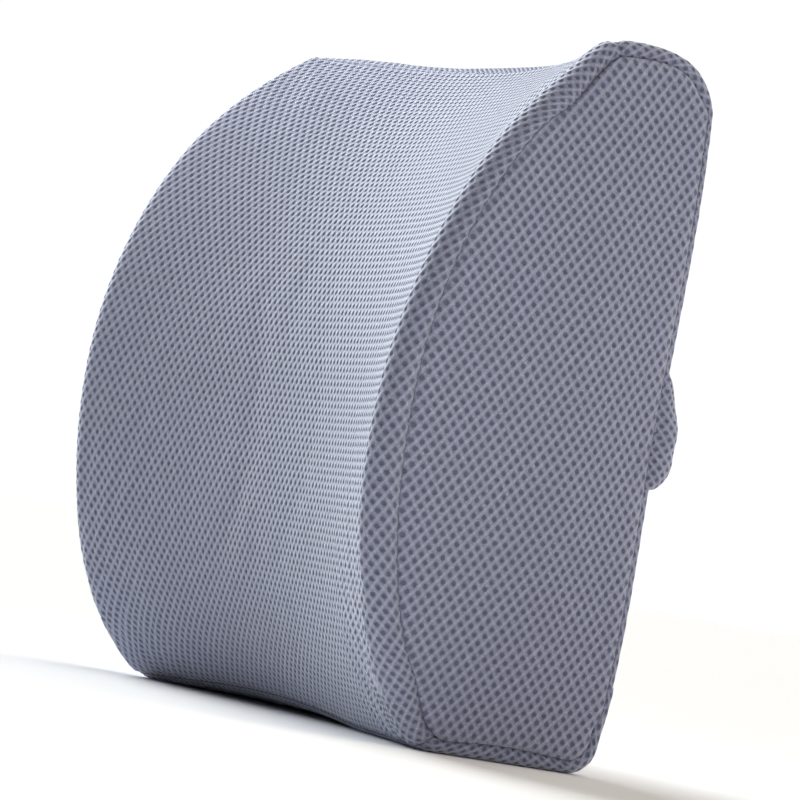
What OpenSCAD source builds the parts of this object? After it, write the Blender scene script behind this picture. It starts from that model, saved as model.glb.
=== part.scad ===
// Lumbar support cushion: a memory foam block in a removable mesh cover,
// with a zip low on its back and an elastic strap with a side-release buckle.
// Millimetres. The cushion stands on its base at z = 0, its front faces -Y.

/* [Part shown] */
// one node of the assembly, or all of them

/* [Cushion body] */
// width across the side panels at mid height
body_w = 340; // [300:1:380]
// how much narrower each side gets towards the top and the base
side_taper = 15; // [0:1:30]
// depth of the wings at the lumbar bulge
bulge_d = 139.6; // [110:0.2:160]
// height of the deepest point of the bulge
bulge_z = 143; // [110:1:180]
// depth of the front top edge's corner centre
top_d = 50; // [35:1:70]
// height of the front top edge
body_h = 316; // [280:1:350]
// slope of the top face, down towards the back, in degrees
top_slope = 8; // [0:1:20]
// depth where the flat of the base ends at the front
base_d = 80.3; // [60:0.1:100]
// how far the middle of the front lies behind the wings, at the top
dip_top = 25; // [0:1:40]
// the same at the bulge
dip_bulge = 36; // [0:1:50]
// the same at the base
dip_base = 15; // [0:1:30]
// radius of the ridge between the front and a side
ridge_r = 9; // [5:0.5:14]
// radius of the other edges of a side
edge_r = 6; // [5.5:0.5:10]
// radius of the long edges at the back
back_r = 12; // [8:0.5:20]

/* [Cover] */
// thickness of the spacer mesh fabric
mesh_t = 3; // [2:0.1:4]
// width of the groove along a seam
seam_gap = 1.8; // [1.2:0.1:2.4]
// thickness of a seam thread
thread_d = 0.7; // [0.5:0.1:0.9]
// distance of the side seam from the front ridge
seam_front = 14; // [10:0.5:20]
// distance of the side seam from the other edges
seam_edge = 7.5; // [6.5:0.5:12]
// free space between the cover, the liner and the foam
layer_gap = 0.5; // [0.3:0.1:1]
// thickness of the inner liner
liner_t = 0.8; // [0.5:0.1:1.5]

/* [Zip] */
// height of the zip's middle above the base
zip_z = 40; // [30:1:60]
// height of the opening that the zip fills
zip_slot = 14; // [12:0.5:20]
// half length of the rows of teeth
zip_half = 138; // [100:1:145]
// half height of the space between the two rows of teeth
zip_mid = 0.9; // [0.6:0.1:1.2]
// length of the slider
slider_l = 10; // [7:0.5:14]
// length of the pull tab
pull_l = 26; // [15:1:35]

/* [Strap] */
// height of the strap's middle line
strap_z = 152.5; // [120:0.5:190]
// width of the elastic webbing
web_w = 25; // [20:1:40]
// thickness of the webbing
web_t = 1.6; // [1:0.1:2.5]
// height of a fabric ear where it is sewn to the cushion
ear_root_h = 52; // [40:1:70]
// height of a fabric ear at its strap end
ear_tip_h = 30; // [26:1:45]
// thickness of an ear
ear_t = 2; // [1.5:0.1:3]
// distance of an ear's root from the middle plane
ear_x = 159; // [140:1:163]
// distance of an ear's strap end from the middle plane
ear_end_x = 126; // [100:1:135]
// how far the slack of an ear stands out behind the back
ear_hump = 7.6; // [0:0.1:12]

/* [Buckle] */
// half width of the socket
socket_hw = 17; // [15:0.5:20]
// length of the socket
socket_l = 32.4; // [28:0.2:40]
// thickness of the socket
socket_t = 9; // [7:0.5:12]
// half width of the plug
plug_hw = 15.5; // [14:0.5:18]
// gap between the prongs and the mouth before they go in
plug_apart = 10; // [4:1:20]

/* [Hidden] */
$fn = 48;

mesh_grey = [0.60, 0.62, 0.71];
mesh_side = [0.53, 0.55, 0.63];
thread_grey = [0.45, 0.46, 0.55];
foam_white = [0.93, 0.91, 0.84];
liner_white = [0.86, 0.87, 0.90];
charcoal = [0.16, 0.16, 0.18];
gun_metal = [0.35, 0.35, 0.38];

// y of the flat back face, so that the origin lies under the middle of the base
back_y = 46;
mid_z = body_h / 2;
liner_d = mesh_t + layer_gap;
foam_d = liner_d + liner_t + layer_gap;
// centre that the rings of a side panel shrink to, as depth and height
side_c = [50, 150];

// centres and radii of the long rounded edges, as depth and height
top_front_r = 8.5;
top_front_c = [top_d, body_h - top_front_r];
base_front_r = 18.6;
base_front_c = [base_d, base_front_r];
base_back_c = [back_r, back_r];
top_back_c = [back_r, body_h - top_front_r - 9];
// directions, in degrees, in which the front curve leaves the rounded edges
top_turn = 53;
base_turn = -43;

// ---------- outline of the wings, seen from the side ----------

function arc(c, r, a0, a1, n) =
  [for (i = [0:n]) let (a = a0 + (a1 - a0) * i / n) c + r * [cos(a), sin(a)]];

function bezier(p, n) =
  [for (i = [1:n]) let (t = i / n, s = 1 - t)
    s * s * s * p[0] + 3 * s * s * t * p[1] + 3 * s * t * t * p[2] + t * t * t * p[3]];

function line(a, b, n) = [for (i = [1:n]) a + (b - a) * i / n];

front_top = top_front_c + top_front_r * [cos(top_turn), sin(top_turn)];
front_base = base_front_c + base_front_r * [cos(base_turn), sin(base_turn)];
bulge = [bulge_d, bulge_z];
upper_front = bezier([front_top, front_top + 66 * [sin(top_turn), -cos(top_turn)],
  bulge + [0, 72], bulge], 9);
lower_front = bezier([bulge, bulge - [0, 55],
  front_base - 48 * [sin(base_turn), -cos(base_turn)], front_base], 8);

top_edge_a = 90 + top_slope;
top_back_end = top_back_c + back_r * [cos(top_edge_a), sin(top_edge_a)];
top_front_end = top_front_c + top_front_r * [cos(top_edge_a), sin(top_edge_a)];

function on_arc(c, r, a) = c + r * [cos(a), sin(a)];
top_arc = arc(top_front_c, top_front_r, 81, top_turn, 3);
function base_arc(to) = arc(base_front_c, base_front_r, base_turn, to,
  round((base_turn - to) / 7));

// half of a seam groove as an angle on the front top and front base edges
top_seam_a = asin(seam_gap / 2 / top_front_r);
base_seam_a = asin(seam_gap / 2 / base_front_r);
base_seam_at = -64;

// heights where every layer has a corner on its back
back_z = [270, 195, 120];

front_profile = concat([on_arc(top_front_c, top_front_r, 90 - top_seam_a)],
  top_arc, upper_front, lower_front, line_skip(base_arc(-57)),
  [on_arc(base_front_c, base_front_r, base_seam_at + base_seam_a)]);
upper_profile = concat([on_arc(top_front_c, top_front_r, 90 + top_seam_a)],
  [top_front_end], line(top_front_end, top_back_end, 2),
  line_skip(arc(top_back_c, back_r, top_edge_a, 180, 4)),
  [for (z = back_z) [0, z]], [[0, zip_z + zip_slot / 2]]);
lower_profile = concat([[0, zip_z - zip_slot / 2], [0, back_r]],
  line_skip(arc(base_back_c, back_r, 180, 270, 4)),
  line([back_r, 0], [base_d, 0], 2),
  [for (a = [-77, base_seam_at - base_seam_a]) on_arc(base_front_c, base_front_r, a)]);
whole_profile = concat([top_front_end, on_arc(top_front_c, top_front_r, 90)], top_arc,
  upper_front, lower_front, line_skip(base_arc(base_seam_at)),
  [for (a = [-77, -90]) on_arc(base_front_c, base_front_r, a)],
  line([base_d, 0], [back_r, 0], 2),
  line_skip(arc(base_back_c, back_r, 270, 180, 4)),
  [for (i = [len(back_z):-1:0]) [0, i == len(back_z) ? 45 : back_z[i]]],
  arc(top_back_c, back_r, 180, top_edge_a, 4),
  [(top_front_end + top_back_end) / 2]);

function line_skip(p) = [for (i = [1:len(p) - 1]) p[i]];

// ---------- the body as rings of points, each inset by d ----------

function clamp(v, lo, hi) = max(lo, min(hi, v));
function mix(a, b, t) = a + (b - a) * t;
function is_front(p) = p[0] > 84 || (p[1] > mid_z && p[0] > 53);
// half width of the body at height z
function half_w(z) = body_w / 2 - side_taper * pow(abs(z - mid_z) / mid_z, 2.5);
// direction from a point of the outline to the inside of the body
function inward(p) = let (w = [45 - p[0], clamp(p[1], 45, 270) - p[1]]) w / norm(w);
// radius of the side's edge at a point of the outline
function side_r(p) = is_front(p) ? ridge_r : edge_r;
// distance of the side seam from the outline
function seam_in(p) = is_front(p)
  ? mix(seam_edge + 2, seam_front, clamp(min(body_h - p[1], p[1]) / 30, 0, 1))
  : seam_edge;
// depth of the front at a point's height, where the dip has its full strength
function dip_depth(p) = is_front(p) ? p[0] : p[1] > mid_z ? top_d + 5 : base_d + 8;
function dip_full(z) = z > bulge_z
  ? mix(dip_bulge, dip_top, pow((z - bulge_z) / (body_h - bulge_z), 1.5))
  : mix(dip_bulge, dip_base, pow((bulge_z - z) / bulge_z, 1.5));
// the part of the dip that moves a point at depth u, none near the back
function dip_share(p, u) = clamp((u - 14) / (dip_depth(p) - 8 - 14), 0, 1);
// how much the top edge also sinks where it dips
function dip_sink(z) = 0.22 * clamp((z - 230) / 86, 0, 1);

// s runs across the body: -1 to 1 is the front or back, up to 2 the rounded edge,
// up to 3 the rim of the side, which ends short of the seam by "short"
function body_pt(p, s, d, short) = let (
    a = abs(s), r = side_r(p), c = half_w(p[1]) - r, turn = (a - 1) * 90,
    x = a <= 1 ? a * c : a <= 2 ? c + (r - d) * sin(turn) : c + r - d,
    e = a <= 1 ? d : a <= 2 ? r - (r - d) * cos(turn)
      : mix(r, seam_in(p) - short, a - 2),
    q = p + inward(p) * e,
    dip = dip_full(p[1]) * (a < 1 ? 1 - s * s : 0) * dip_share(p, q[0]))
  [sign(s) * x, back_y - q[0] + dip, q[1] - dip * dip_sink(p[1])];

function side_pt(p, side, d, past, f) = let (
    q = p + inward(p) * (seam_in(p) + past), g = mix(q, side_c, f))
  [side * (half_w(mix(p[1], side_c[1], f)) - d), back_y - g[0], g[1]];

across = [for (i = [-6:6]) i / 6];
edge_steps = [1 / 3, 2 / 3, 1];
stations = concat([-3], [for (i = [2:-1:0]) -1 - edge_steps[i]], across,
  [for (e = edge_steps) 1 + e], [3]);
ring_steps = [0.33, 0.66];

function rows(profile, d, short) =
  [for (s = stations) [for (p = profile) body_pt(p, s, d, short)]];
// the same without the rims of the sides
function short_rows(profile, d) =
  [for (s = stations) if (abs(s) <= 2) [for (p = profile) body_pt(p, s, d, 0)]];

function body_rings(d) = concat(
  [for (i = [1:-1:0]) [for (p = whole_profile) side_pt(p, -1, d, 0, ring_steps[i])]],
  rows(whole_profile, d, 0),
  [for (f = ring_steps) [for (p = whole_profile) side_pt(p, 1, d, 0, f)]]);

// closed skin over rings of points that run from -X to +X
module ring_body(rings, first, last) {
  m = len(rings);
  n = len(rings[0]);
  points = concat([for (r = rings) each r], [first, last]);
  polyhedron(points, concat(
    [for (i = [0:m - 2], j = [0:n - 1]) let (k = (j + 1) % n)
      each [[i * n + j, (i + 1) * n + j, (i + 1) * n + k],
        [i * n + j, (i + 1) * n + k, i * n + k]]],
    [for (j = [0:n - 1]) [j, (j + 1) % n, m * n]],
    [for (j = [0:n - 1]) [(m - 1) * n + (j + 1) % n, (m - 1) * n + j, m * n + 1]]),
    convexity = 6);
}

module body(d) {
  ring_body(body_rings(d),
    [-half_w(side_c[1]) + d, back_y - side_c[0], side_c[1]],
    [half_w(side_c[1]) - d, back_y - side_c[0], side_c[1]]);
}

// thick sheet between an outer and an inner grid of points
module sheet(outer, inner) {
  m = len(outer);
  n = len(outer[0]);
  k = m * n;
  points = concat([for (r = outer) each r], [for (r = inner) each r]);
  polyhedron(points, concat(
    [for (i = [0:m - 2], j = [0:n - 2]) let (a = i * n + j, b = a + n)
      each [[a, b, b + 1], [a, b + 1, a + 1],
        [k + a, k + b + 1, k + b], [k + a, k + a + 1, k + b + 1]]],
    [for (i = [0:m - 2]) let (a = i * n, b = a + n, c = b + n - 1, d = a + n - 1)
      each [[b, a, k + a], [b, k + a, k + b], [d, c, k + c], [d, k + c, k + d]]],
    [for (j = [0:n - 2]) let (a = j, d = j + 1, b = (m - 1) * n + j, c = b + 1)
      each [[a, d, k + d], [a, k + d, k + a], [c, b, k + b], [c, k + b, k + c]]]),
    convexity = 6);
}

module cover_sheet(profile) {
  sheet(rows(profile, 0, seam_gap / 2), rows(profile, mesh_t, seam_gap / 2));
}

// the same for a profile that runs the other way round the body
module back_sheet(profile) {
  sheet(rows(profile, mesh_t, seam_gap / 2), rows(profile, 0, seam_gap / 2));
}

// ---------- foam, liner and cover ----------

module foam_core() {
  color(foam_white) body(foam_d);
}

module inner_liner() {
  mouth_h = 20;
  color(liner_white) difference() {
    body(liner_d);
    body(liner_d + liner_t);
    translate([-zip_half, back_y - foam_d - 1, zip_z - mouth_h / 2])
      cube([2 * zip_half, 10, mouth_h]);
  }
}

module front_panel() {
  color(mesh_grey) cover_sheet(front_profile);
}

module back_panel_upper() {
  color(mesh_grey) back_sheet(upper_profile);
}

module back_panel_lower() {
  color(mesh_grey) back_sheet(lower_profile);
}

// a side panel is built on the other side and mirrored, so that the triangles of
// its inner face lie like those of the liner beneath it
module side_panel(side) {
  steps = concat([0], ring_steps);
  depths = side > 0 ? [mesh_t, 0] : [0, mesh_t];
  rings = concat([for (i = [2:-1:0]) side_ring(side, depths[0], steps[i])],
    [for (f = steps) side_ring(side, depths[1], f)]);
  x = half_w(side_c[1]);
  color(mesh_side) mirror([1, 0, 0]) ring_body(rings,
    [side * (x - depths[0]), back_y - side_c[0], side_c[1]],
    [side * (x - depths[1]), back_y - side_c[0], side_c[1]]);
}

function side_ring(side, d, f) =
  [for (p = whole_profile) side_pt(p, side, d, seam_gap / 2, f)];

module side_panel_left() {
  side_panel(1);
}

module side_panel_right() {
  side_panel(-1);
}

// ---------- seam threads in the grooves between the panels ----------

// closed loop of thread that follows the side seam
module side_seam() {
  r = thread_d / 2;
  n = len(whole_profile);
  corners = 6;
  points = [for (p = whole_profile, k = [0:corners - 1]) let (a = k * 360 / corners,
      q = p + inward(p) * (seam_in(p) + r * cos(a)))
    [half_w(p[1]) - r - 0.2 + r * sin(a), back_y - q[0], q[1]]];
  polyhedron(points, [for (i = [0:n - 1], k = [0:corners - 1])
    let (a = i * corners + k, b = i * corners + (k + 1) % corners,
      c = ((i + 1) % n) * corners + (k + 1) % corners,
      d = ((i + 1) % n) * corners + k)
    each [[a, c, b], [a, d, c]]], convexity = 6);
}

module side_seam_left() {
  color(thread_grey) mirror([1, 0, 0]) side_seam();
}

module side_seam_right() {
  color(thread_grey) side_seam();
}

// thread along the front top or front base edge, at an angle on that edge
module cross_seam(c, r, at) {
  half = asin(thread_d / 2 / r);
  outline = [c + r * [cos(at + half), sin(at + half)],
    c + r * [cos(at - half), sin(at - half)]];
  sunk = 0.2;
  sheet(short_rows(outline, sunk), short_rows(outline, sunk + thread_d));
}

module top_seam() {
  color(thread_grey) cross_seam(top_front_c, top_front_r, 90);
}

module base_seam() {
  color(thread_grey) cross_seam(base_front_c, base_front_r, base_seam_at);
}

// ---------- zip ----------

// heights of the tapes and teeth, mirrored about the zip's middle
module zip_pair(upper) {
  translate([0, back_y, zip_z]) mirror([0, 0, upper ? 0 : 1]) children();
}

module tape() {
  edge = 0.4;
  tape_half = half_w(zip_z) - edge_r - 1;
  translate([-tape_half, -1.4, zip_mid])
    cube([2 * tape_half, 0.6, zip_slot / 2 - edge - zip_mid]);
}

module teeth() {
  translate([-zip_half, -0.6, zip_mid]) cube([2 * zip_half, 1.4, 2]);
}

module zip_tape_upper() {
  color(charcoal) zip_pair(true) tape();
}

module zip_tape_lower() {
  color(charcoal) zip_pair(false) tape();
}

module zip_teeth_upper() {
  color(gun_metal) zip_pair(true) teeth();
}

module zip_teeth_lower() {
  color(gun_metal) zip_pair(false) teeth();
}

module zip_stop(side) {
  stop_l = 3;
  translate([side * (zip_half + 0.4 + stop_l / 2), back_y, zip_z]) {
    translate([-stop_l / 2, -0.6, -3.2]) cube([stop_l, 1.6, 6.4]);
  }
}

module zip_stop_left() {
  color(gun_metal) zip_stop(-1);
}

module zip_stop_right() {
  color(gun_metal) zip_stop(1);
}

slider_x = zip_half - slider_l / 2 - 1;
slider_hw = 3.6;
plate_t = 0.9;
// offset of the pull's pin behind the back face
pin_y = 3.9;
pin_r = 0.7;

// flat plate in the X-Z plane between two depths behind the back face
module slab(y0, y1) {
  translate([0, back_y + y1, 0]) rotate([90, 0, 0]) linear_extrude(y1 - y0) children();
}

// rounded rectangle made of two bars and four discs
module rounded(x0, x1, z0, z1, r) {
  translate([x0 + r, z0]) square([x1 - x0 - 2 * r, z1 - z0]);
  translate([x0, z0 + r]) square([x1 - x0, z1 - z0 - 2 * r]);
  for (x = [x0 + r, x1 - r], z = [z0 + r, z1 - r]) translate([x, z]) circle(r);
}

module slider_outline() {
  rounded(-slider_l / 2, slider_l / 2, -slider_hw, slider_hw, 1.5);
}

module zip_slider() {
  neck_w = 1.2;
  neck_l = 3;
  bail_w = 1.6;
  color(gun_metal) translate([slider_x, 0, zip_z]) {
    slab(1.2, 1.2 + plate_t) slider_outline();
    slab(-2.7, -1.8) slider_outline();
    translate([slider_l / 2 - neck_l - 0.5, back_y - 2.7, -neck_w / 2])
      cube([neck_l, 3.9 + plate_t, neck_w]);
    difference() {
      union() {
        translate([0, back_y + pin_y, -bail_w / 2]) cylinder(r = 2.3, h = bail_w);
        translate([-2.3, back_y + 1.2 + plate_t / 2, -bail_w / 2])
          cube([4.6, pin_y - 1.2 - plate_t / 2, bail_w]);
      }
      translate([0, back_y + pin_y, -bail_w]) cylinder(r = pin_r + 0.6, h = 2 * bail_w);
    }
  }
}

module zip_pull() {
  arm_in = 1.3;
  arm_out = 3.2;
  thick = 1.2;
  color(gun_metal) translate([slider_x, back_y + pin_y, zip_z]) {
    translate([0, 0, -arm_out]) cylinder(r = pin_r, h = 2 * arm_out);
    for (side = [-1, 1])
      translate([-4.6, -thick / 2, side > 0 ? arm_in : -arm_out])
        cube([4.6, thick, arm_out - arm_in]);
    translate([0, -back_y, 0]) slab(-thick / 2, thick / 2) difference() {
      rounded(-pull_l, -3.6, -arm_out, arm_out, 1.5);
      translate([-pull_l + 4.5, 0]) circle(1.6);
    }
  }
}

// ---------- strap ----------

web_y = 3;
ear_flat_y = web_y + web_t / 2 + 0.3 + ear_t / 2;
hump_end_x = 140;
root_y = 1.8;

// distance of the ear's middle layer behind the back face, at distance x
function ear_y(x) = let (s = clamp((ear_x - x) / (ear_x - hump_end_x), 0, 1))
  mix(root_y, ear_flat_y, s) + ear_hump * pow(sin(180 * s), 2);

// strip of even thickness along a line of points
function strip(line, t) = let (n = len(line), normals = [for (i = [0:n - 1]) let (
      d = line[min(i + 1, n - 1)] - line[max(i - 1, 0)]) [-d[1], d[0]] / norm(d)])
  concat([for (i = [0:n - 1]) line[i] + normals[i] * t / 2],
    [for (i = [n - 1:-1:0]) line[i] - normals[i] * t / 2]);

module ear() {
  steps = 16;
  curve = [for (i = [0:steps]) let (x = mix(ear_x, hump_end_x, i / steps)) [x, ear_y(x)]];
  translate([0, back_y, strap_z]) intersection() {
    union() {
      translate([0, 0, -ear_root_h / 2]) linear_extrude(ear_root_h)
        polygon(strip(concat(curve, [[ear_end_x, ear_flat_y]]), ear_t));
      translate([ear_x, root_y, -ear_root_h / 2])
        cylinder(r = 1.2, h = ear_root_h);
    }
    translate([0, 30, 0]) rotate([90, 0, 0]) linear_extrude(30) polygon([
      [ear_x + 2, ear_root_h / 2], [ear_x + 2, -ear_root_h / 2],
      [hump_end_x + 12, -ear_root_h / 2], [ear_end_x, -ear_tip_h / 2],
      [ear_end_x, ear_tip_h / 2], [hump_end_x + 12, ear_root_h / 2]]);
  }
}

module strap_ear_left() {
  color(mesh_side) mirror([1, 0, 0]) ear();
}

module strap_ear_right() {
  color(mesh_side) ear();
}

// half height of the inside of the loop that the webbing makes round a bar
loop_in = 1.7;
loop_y = web_y + web_t / 2 + loop_in;
flap_l = 26;
// distance of the loop's middle from the bar's inner face
loop_back = 0.8;
// half thickness of a bar
bar_half = 1.3;

// webbing from a start under the ear to the half round end of its loop at loop_x
module webbing(loop_x, start_x) {
  outer = loop_in + web_t;
  translate([0, back_y + loop_y, strap_z - web_w / 2]) linear_extrude(web_w) {
    intersection() {
      difference() {
        translate([loop_x, 0]) circle(outer);
        translate([loop_x, 0]) circle(loop_in);
      }
      translate([loop_x, -outer - 1]) square(2 * outer + 2);
    }
    translate([start_x, -outer]) square([loop_x - start_x, web_t]);
    translate([loop_x - flap_l, loop_in]) square([flap_l, web_t]);
  }
}

// positions along the strap, measured from the middle plane
socket_mouth_x = -4;
socket_end_x = socket_mouth_x - socket_l;
bar_l = 2.8;
slot_l = 4;
prong_l = 24;
plug_base_x = socket_mouth_x + plug_apart + prong_l;
plug_base_l = 8;
plug_end_x = plug_base_x + plug_base_l + slot_l + bar_l;
web_start_x = hump_end_x - 2;

module strap_webbing_left() {
  color(charcoal) webbing(socket_end_x + bar_l - loop_back, -web_start_x);
}

module strap_webbing_right() {
  color(charcoal) mirror([1, 0, 0])
    webbing(-(plug_end_x - bar_l + loop_back), -web_start_x);
}

adjuster_x = -86;

module strap_adjuster() {
  half_l = 9;
  rail_in = web_w / 2 + 0.6;
  rail_out = rail_in + 2.6;
  web_lo = web_y - web_t / 2;
  web_hi = web_y + web_t / 2;
  color(charcoal) translate([adjuster_x, 0, strap_z]) {
    for (side = [-1, 1]) slab(0.5, web_hi + 1.8)
      rounded(-half_l, half_l, side > 0 ? rail_in : -rail_out,
        side > 0 ? rail_out : -rail_in, 1.2);
    for (x = [-half_l, half_l - 2.6]) slab(web_hi + 0.3, web_hi + 1.8)
      translate([x, -rail_in - 0.5]) square([2.6, 2 * rail_in + 1]);
    slab(0.5, web_lo - 0.3) translate([-1.6, -rail_in - 0.5])
      square([3.2, 2 * rail_in + 1]);
  }
}

// ---------- side-release buckle ----------

cavity_hw = 11.6;

module buckle_socket() {
  lo = loop_y - socket_t / 2;
  hi = loop_y + socket_t / 2;
  wall = 1.6;
  web_hole = web_w / 2 + 0.7;
  slot_end = socket_end_x + bar_l + slot_l - 1;
  color(charcoal) translate([0, 0, strap_z]) difference() {
    slab(lo, hi) rounded(socket_end_x, socket_mouth_x, -socket_hw, socket_hw, 4);
    slab(lo - 1, hi + 1) translate([socket_end_x + bar_l, -web_hole])
      square([slot_end - socket_end_x - bar_l, 2 * web_hole]);
    for (y = [[lo - 1, loop_y - bar_half], [loop_y + bar_half, hi + 1]]) slab(y[0], y[1])
      translate([socket_end_x - 1, -web_hole])
        square([bar_l + 1.5, 2 * web_hole]);
    slab(lo + wall, hi - wall) translate([slot_end + 2.2, -cavity_hw])
      square([-slot_end, 2 * cavity_hw]);
    slab(lo + wall, hi - wall) translate([socket_mouth_x - 23.4, -socket_hw - 1])
      square([14, 2 * socket_hw + 2]);
  }
}

module buckle_plug() {
  lo = loop_y - 3.5;
  hi = loop_y + 3.5;
  web_hole = web_w / 2 + 0.7;
  slot_x = plug_base_x + plug_base_l;
  color(charcoal) translate([0, 0, strap_z]) {
    difference() {
      slab(lo, hi) rounded(plug_base_x, plug_end_x, -plug_hw, plug_hw, 2.5);
      slab(lo - 1, hi + 1) translate([slot_x, -web_hole])
        square([slot_l, 2 * web_hole]);
      for (y = [[lo - 1, loop_y - bar_half], [loop_y + bar_half, hi + 1]]) slab(y[0], y[1])
        translate([slot_x + 1, -web_hole]) square([slot_l + bar_l, 2 * web_hole]);
    }
    slab(loop_y - 2, loop_y + 2) rounded(plug_base_x - prong_l + 3, plug_base_x + 1,
      -2.4, 2.4, 1.2);
  }
}

// springy arm of the plug, from its root at the plug's base to its catch
module buckle_arm() {
  root_r = 1.3;
  root = [-0.4 - root_r, 9.9];
  slab(loop_y - 2.6, loop_y + 2.6) {
    translate(root) circle(root_r);
    polygon([root - [0, root_r], root + [0, root_r], [-11, 10.8], [-12.4, 13],
      [-13, 14.6], [-15.5, 15.2], [-19, 13.8], [-22.5, 10.5], [-24, 8],
      [-23, 7.4], [-20.5, 8.6], [-15, 8.6]]);
  }
}

module buckle_arm_upper() {
  color(charcoal) translate([plug_base_x, 0, strap_z]) buckle_arm();
}

module buckle_arm_lower() {
  color(charcoal) translate([plug_base_x, 0, strap_z]) mirror([0, 0, 1]) buckle_arm();
}

foam_core();
inner_liner();
front_panel();
side_panel_left();
side_panel_right();
back_panel_upper();
back_panel_lower();
side_seam_left();
side_seam_right();
top_seam();
base_seam();
zip_tape_upper();
zip_tape_lower();
zip_teeth_upper();
zip_teeth_lower();
zip_stop_left();
zip_stop_right();
zip_slider();
zip_pull();
strap_ear_left();
strap_ear_right();
strap_webbing_left();
strap_webbing_right();
strap_adjuster();
buckle_socket();
buckle_plug();
buckle_arm_upper();
buckle_arm_lower();
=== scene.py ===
import math

import bmesh
import bpy
import numpy as np
from mathutils import Matrix, Vector, kdtree
from mathutils.geometry import delaunay_2d_cdt


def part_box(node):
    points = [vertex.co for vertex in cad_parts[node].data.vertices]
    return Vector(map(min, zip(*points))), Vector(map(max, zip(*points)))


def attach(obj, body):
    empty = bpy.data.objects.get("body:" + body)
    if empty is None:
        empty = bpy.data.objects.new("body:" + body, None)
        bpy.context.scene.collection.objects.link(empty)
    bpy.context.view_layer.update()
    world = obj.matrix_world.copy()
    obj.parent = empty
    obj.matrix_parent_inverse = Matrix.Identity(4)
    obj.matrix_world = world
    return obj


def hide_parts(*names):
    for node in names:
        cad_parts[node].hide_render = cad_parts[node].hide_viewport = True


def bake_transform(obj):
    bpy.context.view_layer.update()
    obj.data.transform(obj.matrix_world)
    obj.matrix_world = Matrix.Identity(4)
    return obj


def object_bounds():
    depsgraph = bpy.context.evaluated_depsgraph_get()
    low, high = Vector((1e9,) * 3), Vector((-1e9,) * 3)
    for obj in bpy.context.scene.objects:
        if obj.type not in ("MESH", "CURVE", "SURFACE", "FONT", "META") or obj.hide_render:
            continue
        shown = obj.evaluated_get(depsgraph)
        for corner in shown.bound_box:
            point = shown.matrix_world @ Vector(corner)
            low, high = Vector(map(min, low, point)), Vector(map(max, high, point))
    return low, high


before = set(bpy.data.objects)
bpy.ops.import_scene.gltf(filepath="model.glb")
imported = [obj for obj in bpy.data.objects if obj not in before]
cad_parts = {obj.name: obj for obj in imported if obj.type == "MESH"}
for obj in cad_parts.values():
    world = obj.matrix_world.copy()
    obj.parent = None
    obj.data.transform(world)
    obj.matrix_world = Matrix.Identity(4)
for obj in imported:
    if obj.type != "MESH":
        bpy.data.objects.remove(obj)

# Looks of the lumbar cushion: a stretch spacer-mesh cover over foam, its zip, its
# fabric ears, its elastic strap and the finish of the moulded buckle.
# Shapes are worked out in millimetres and turned into metres when a mesh is made.
MM = 0.001


def box_mm(node):
    """Lowest and highest corner of a CAD node, in millimetres."""
    lo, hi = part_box(node)
    return np.array(lo) / MM, np.array(hi) / MM


def plain(box):
    """A box as lists that json can write."""
    return [[float(x) for x in corner] for corner in box]


cad_box = plain(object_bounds())

# ---------------------------------------------------------------- sizes, in millimetres

FRONT_LO, FRONT_HI = box_mm("front_panel")
SIDE_HI = box_mm("side_panel_right")[1]
UPPER_HI = box_mm("back_panel_upper")[1]
LOWER_HI = box_mm("back_panel_lower")[1]
BODY_W = round(2 * SIDE_HI[0])
BODY_H = round(FRONT_HI[2])
BACK_Y = round(UPPER_HI[1], 1)
BULGE_D = round(BACK_Y - FRONT_LO[1], 1)
MID_Z = BODY_H / 2
# height at which the wings stand out furthest, and how much narrower the body ends
BULGE_Z = 143.0
SIDE_TAPER = 15.0
# depth of the hollow in the front, at the top, at the bulge and at the base, the share of
# it by which the cloth also hangs down at the top, and the height where that begins
DIP_TOP, DIP_BULGE, DIP_BASE = 25.0, 36.0, 15.0
SAG, SAG_Z = 0.22, 230.0
# the hollow begins this deep from the back, and is full this far short of the front
DIP_START, DIP_FULL = 14.0, 8.0
# radii of the wings' ridges, of the other side edges, and of the edge at the back's foot
RIDGE_R, EDGE_R, REAR_EDGE_R, BACK_R = 9.0, 6.0, 2.8, 12.0
# distance of the side seam from the outline
SEAM_FRONT, SEAM_EDGE, SEAM_REAR = 14.0, 7.5, 3.1
# depths at which the front begins, above and below, and the lengths over which it does
FRONT_ABOVE, FRONT_BELOW = (47.0, 10.0), (78.0, 12.0)
# the way into the body leads to a line at this depth, between these heights
CORE_DEPTH, CORE_LO, CORE_HI = 45.0, 45.0, 270.0

# how the stuffed cushion leaves its even shape: its back edges drawn in by the strap, its
# left wing fuller, its base arched off the floor, the upper part of its right ridge further in
DRAW_X, DRAW_Y, DRAW_REACH = 6.0, 2.7, 105.0
DRAW_FROM_X, DRAW_DEPTH = 138.0, 50.0
WING_LOW, WING_LOW_Z, WING_LOW_REACH = 4.0, 22.0, 42.0
WING_HIGH, WING_HIGH_Z, WING_HIGH_REACH = 3.4, 285.0, 50.0
ARCH, ARCH_X, ARCH_HALF, ARCH_UP = 4.6, -38.0, 112.0, 75.0
PULL, PULL_Z, PULL_REACH = 4.6, 225.0, 85.0

# long rounded edges, as centre (depth from the back, height) and radius, and the angle at
# which each passes into the curve of the front
TOP_R, BASE_R = 8.5, 18.6
TOP_FRONT = np.array([50.0, BODY_H - TOP_R])
BASE_FRONT = np.array([80.3, BASE_R])
BASE_BACK = np.array([BACK_R, BACK_R])
TOP_TURN, BASE_TURN = 53.0, -43.0
BASE_SEAM_ANGLE = -72.0
# lengths of the straight starts of the front's two curves: the upper one's, at the edge
# and at the bulge, and the lower one's, at the bulge and at the edge
UPPER_STARTS, LOWER_STARTS = (66.0, 72.0), (55.0, 48.0)
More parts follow.
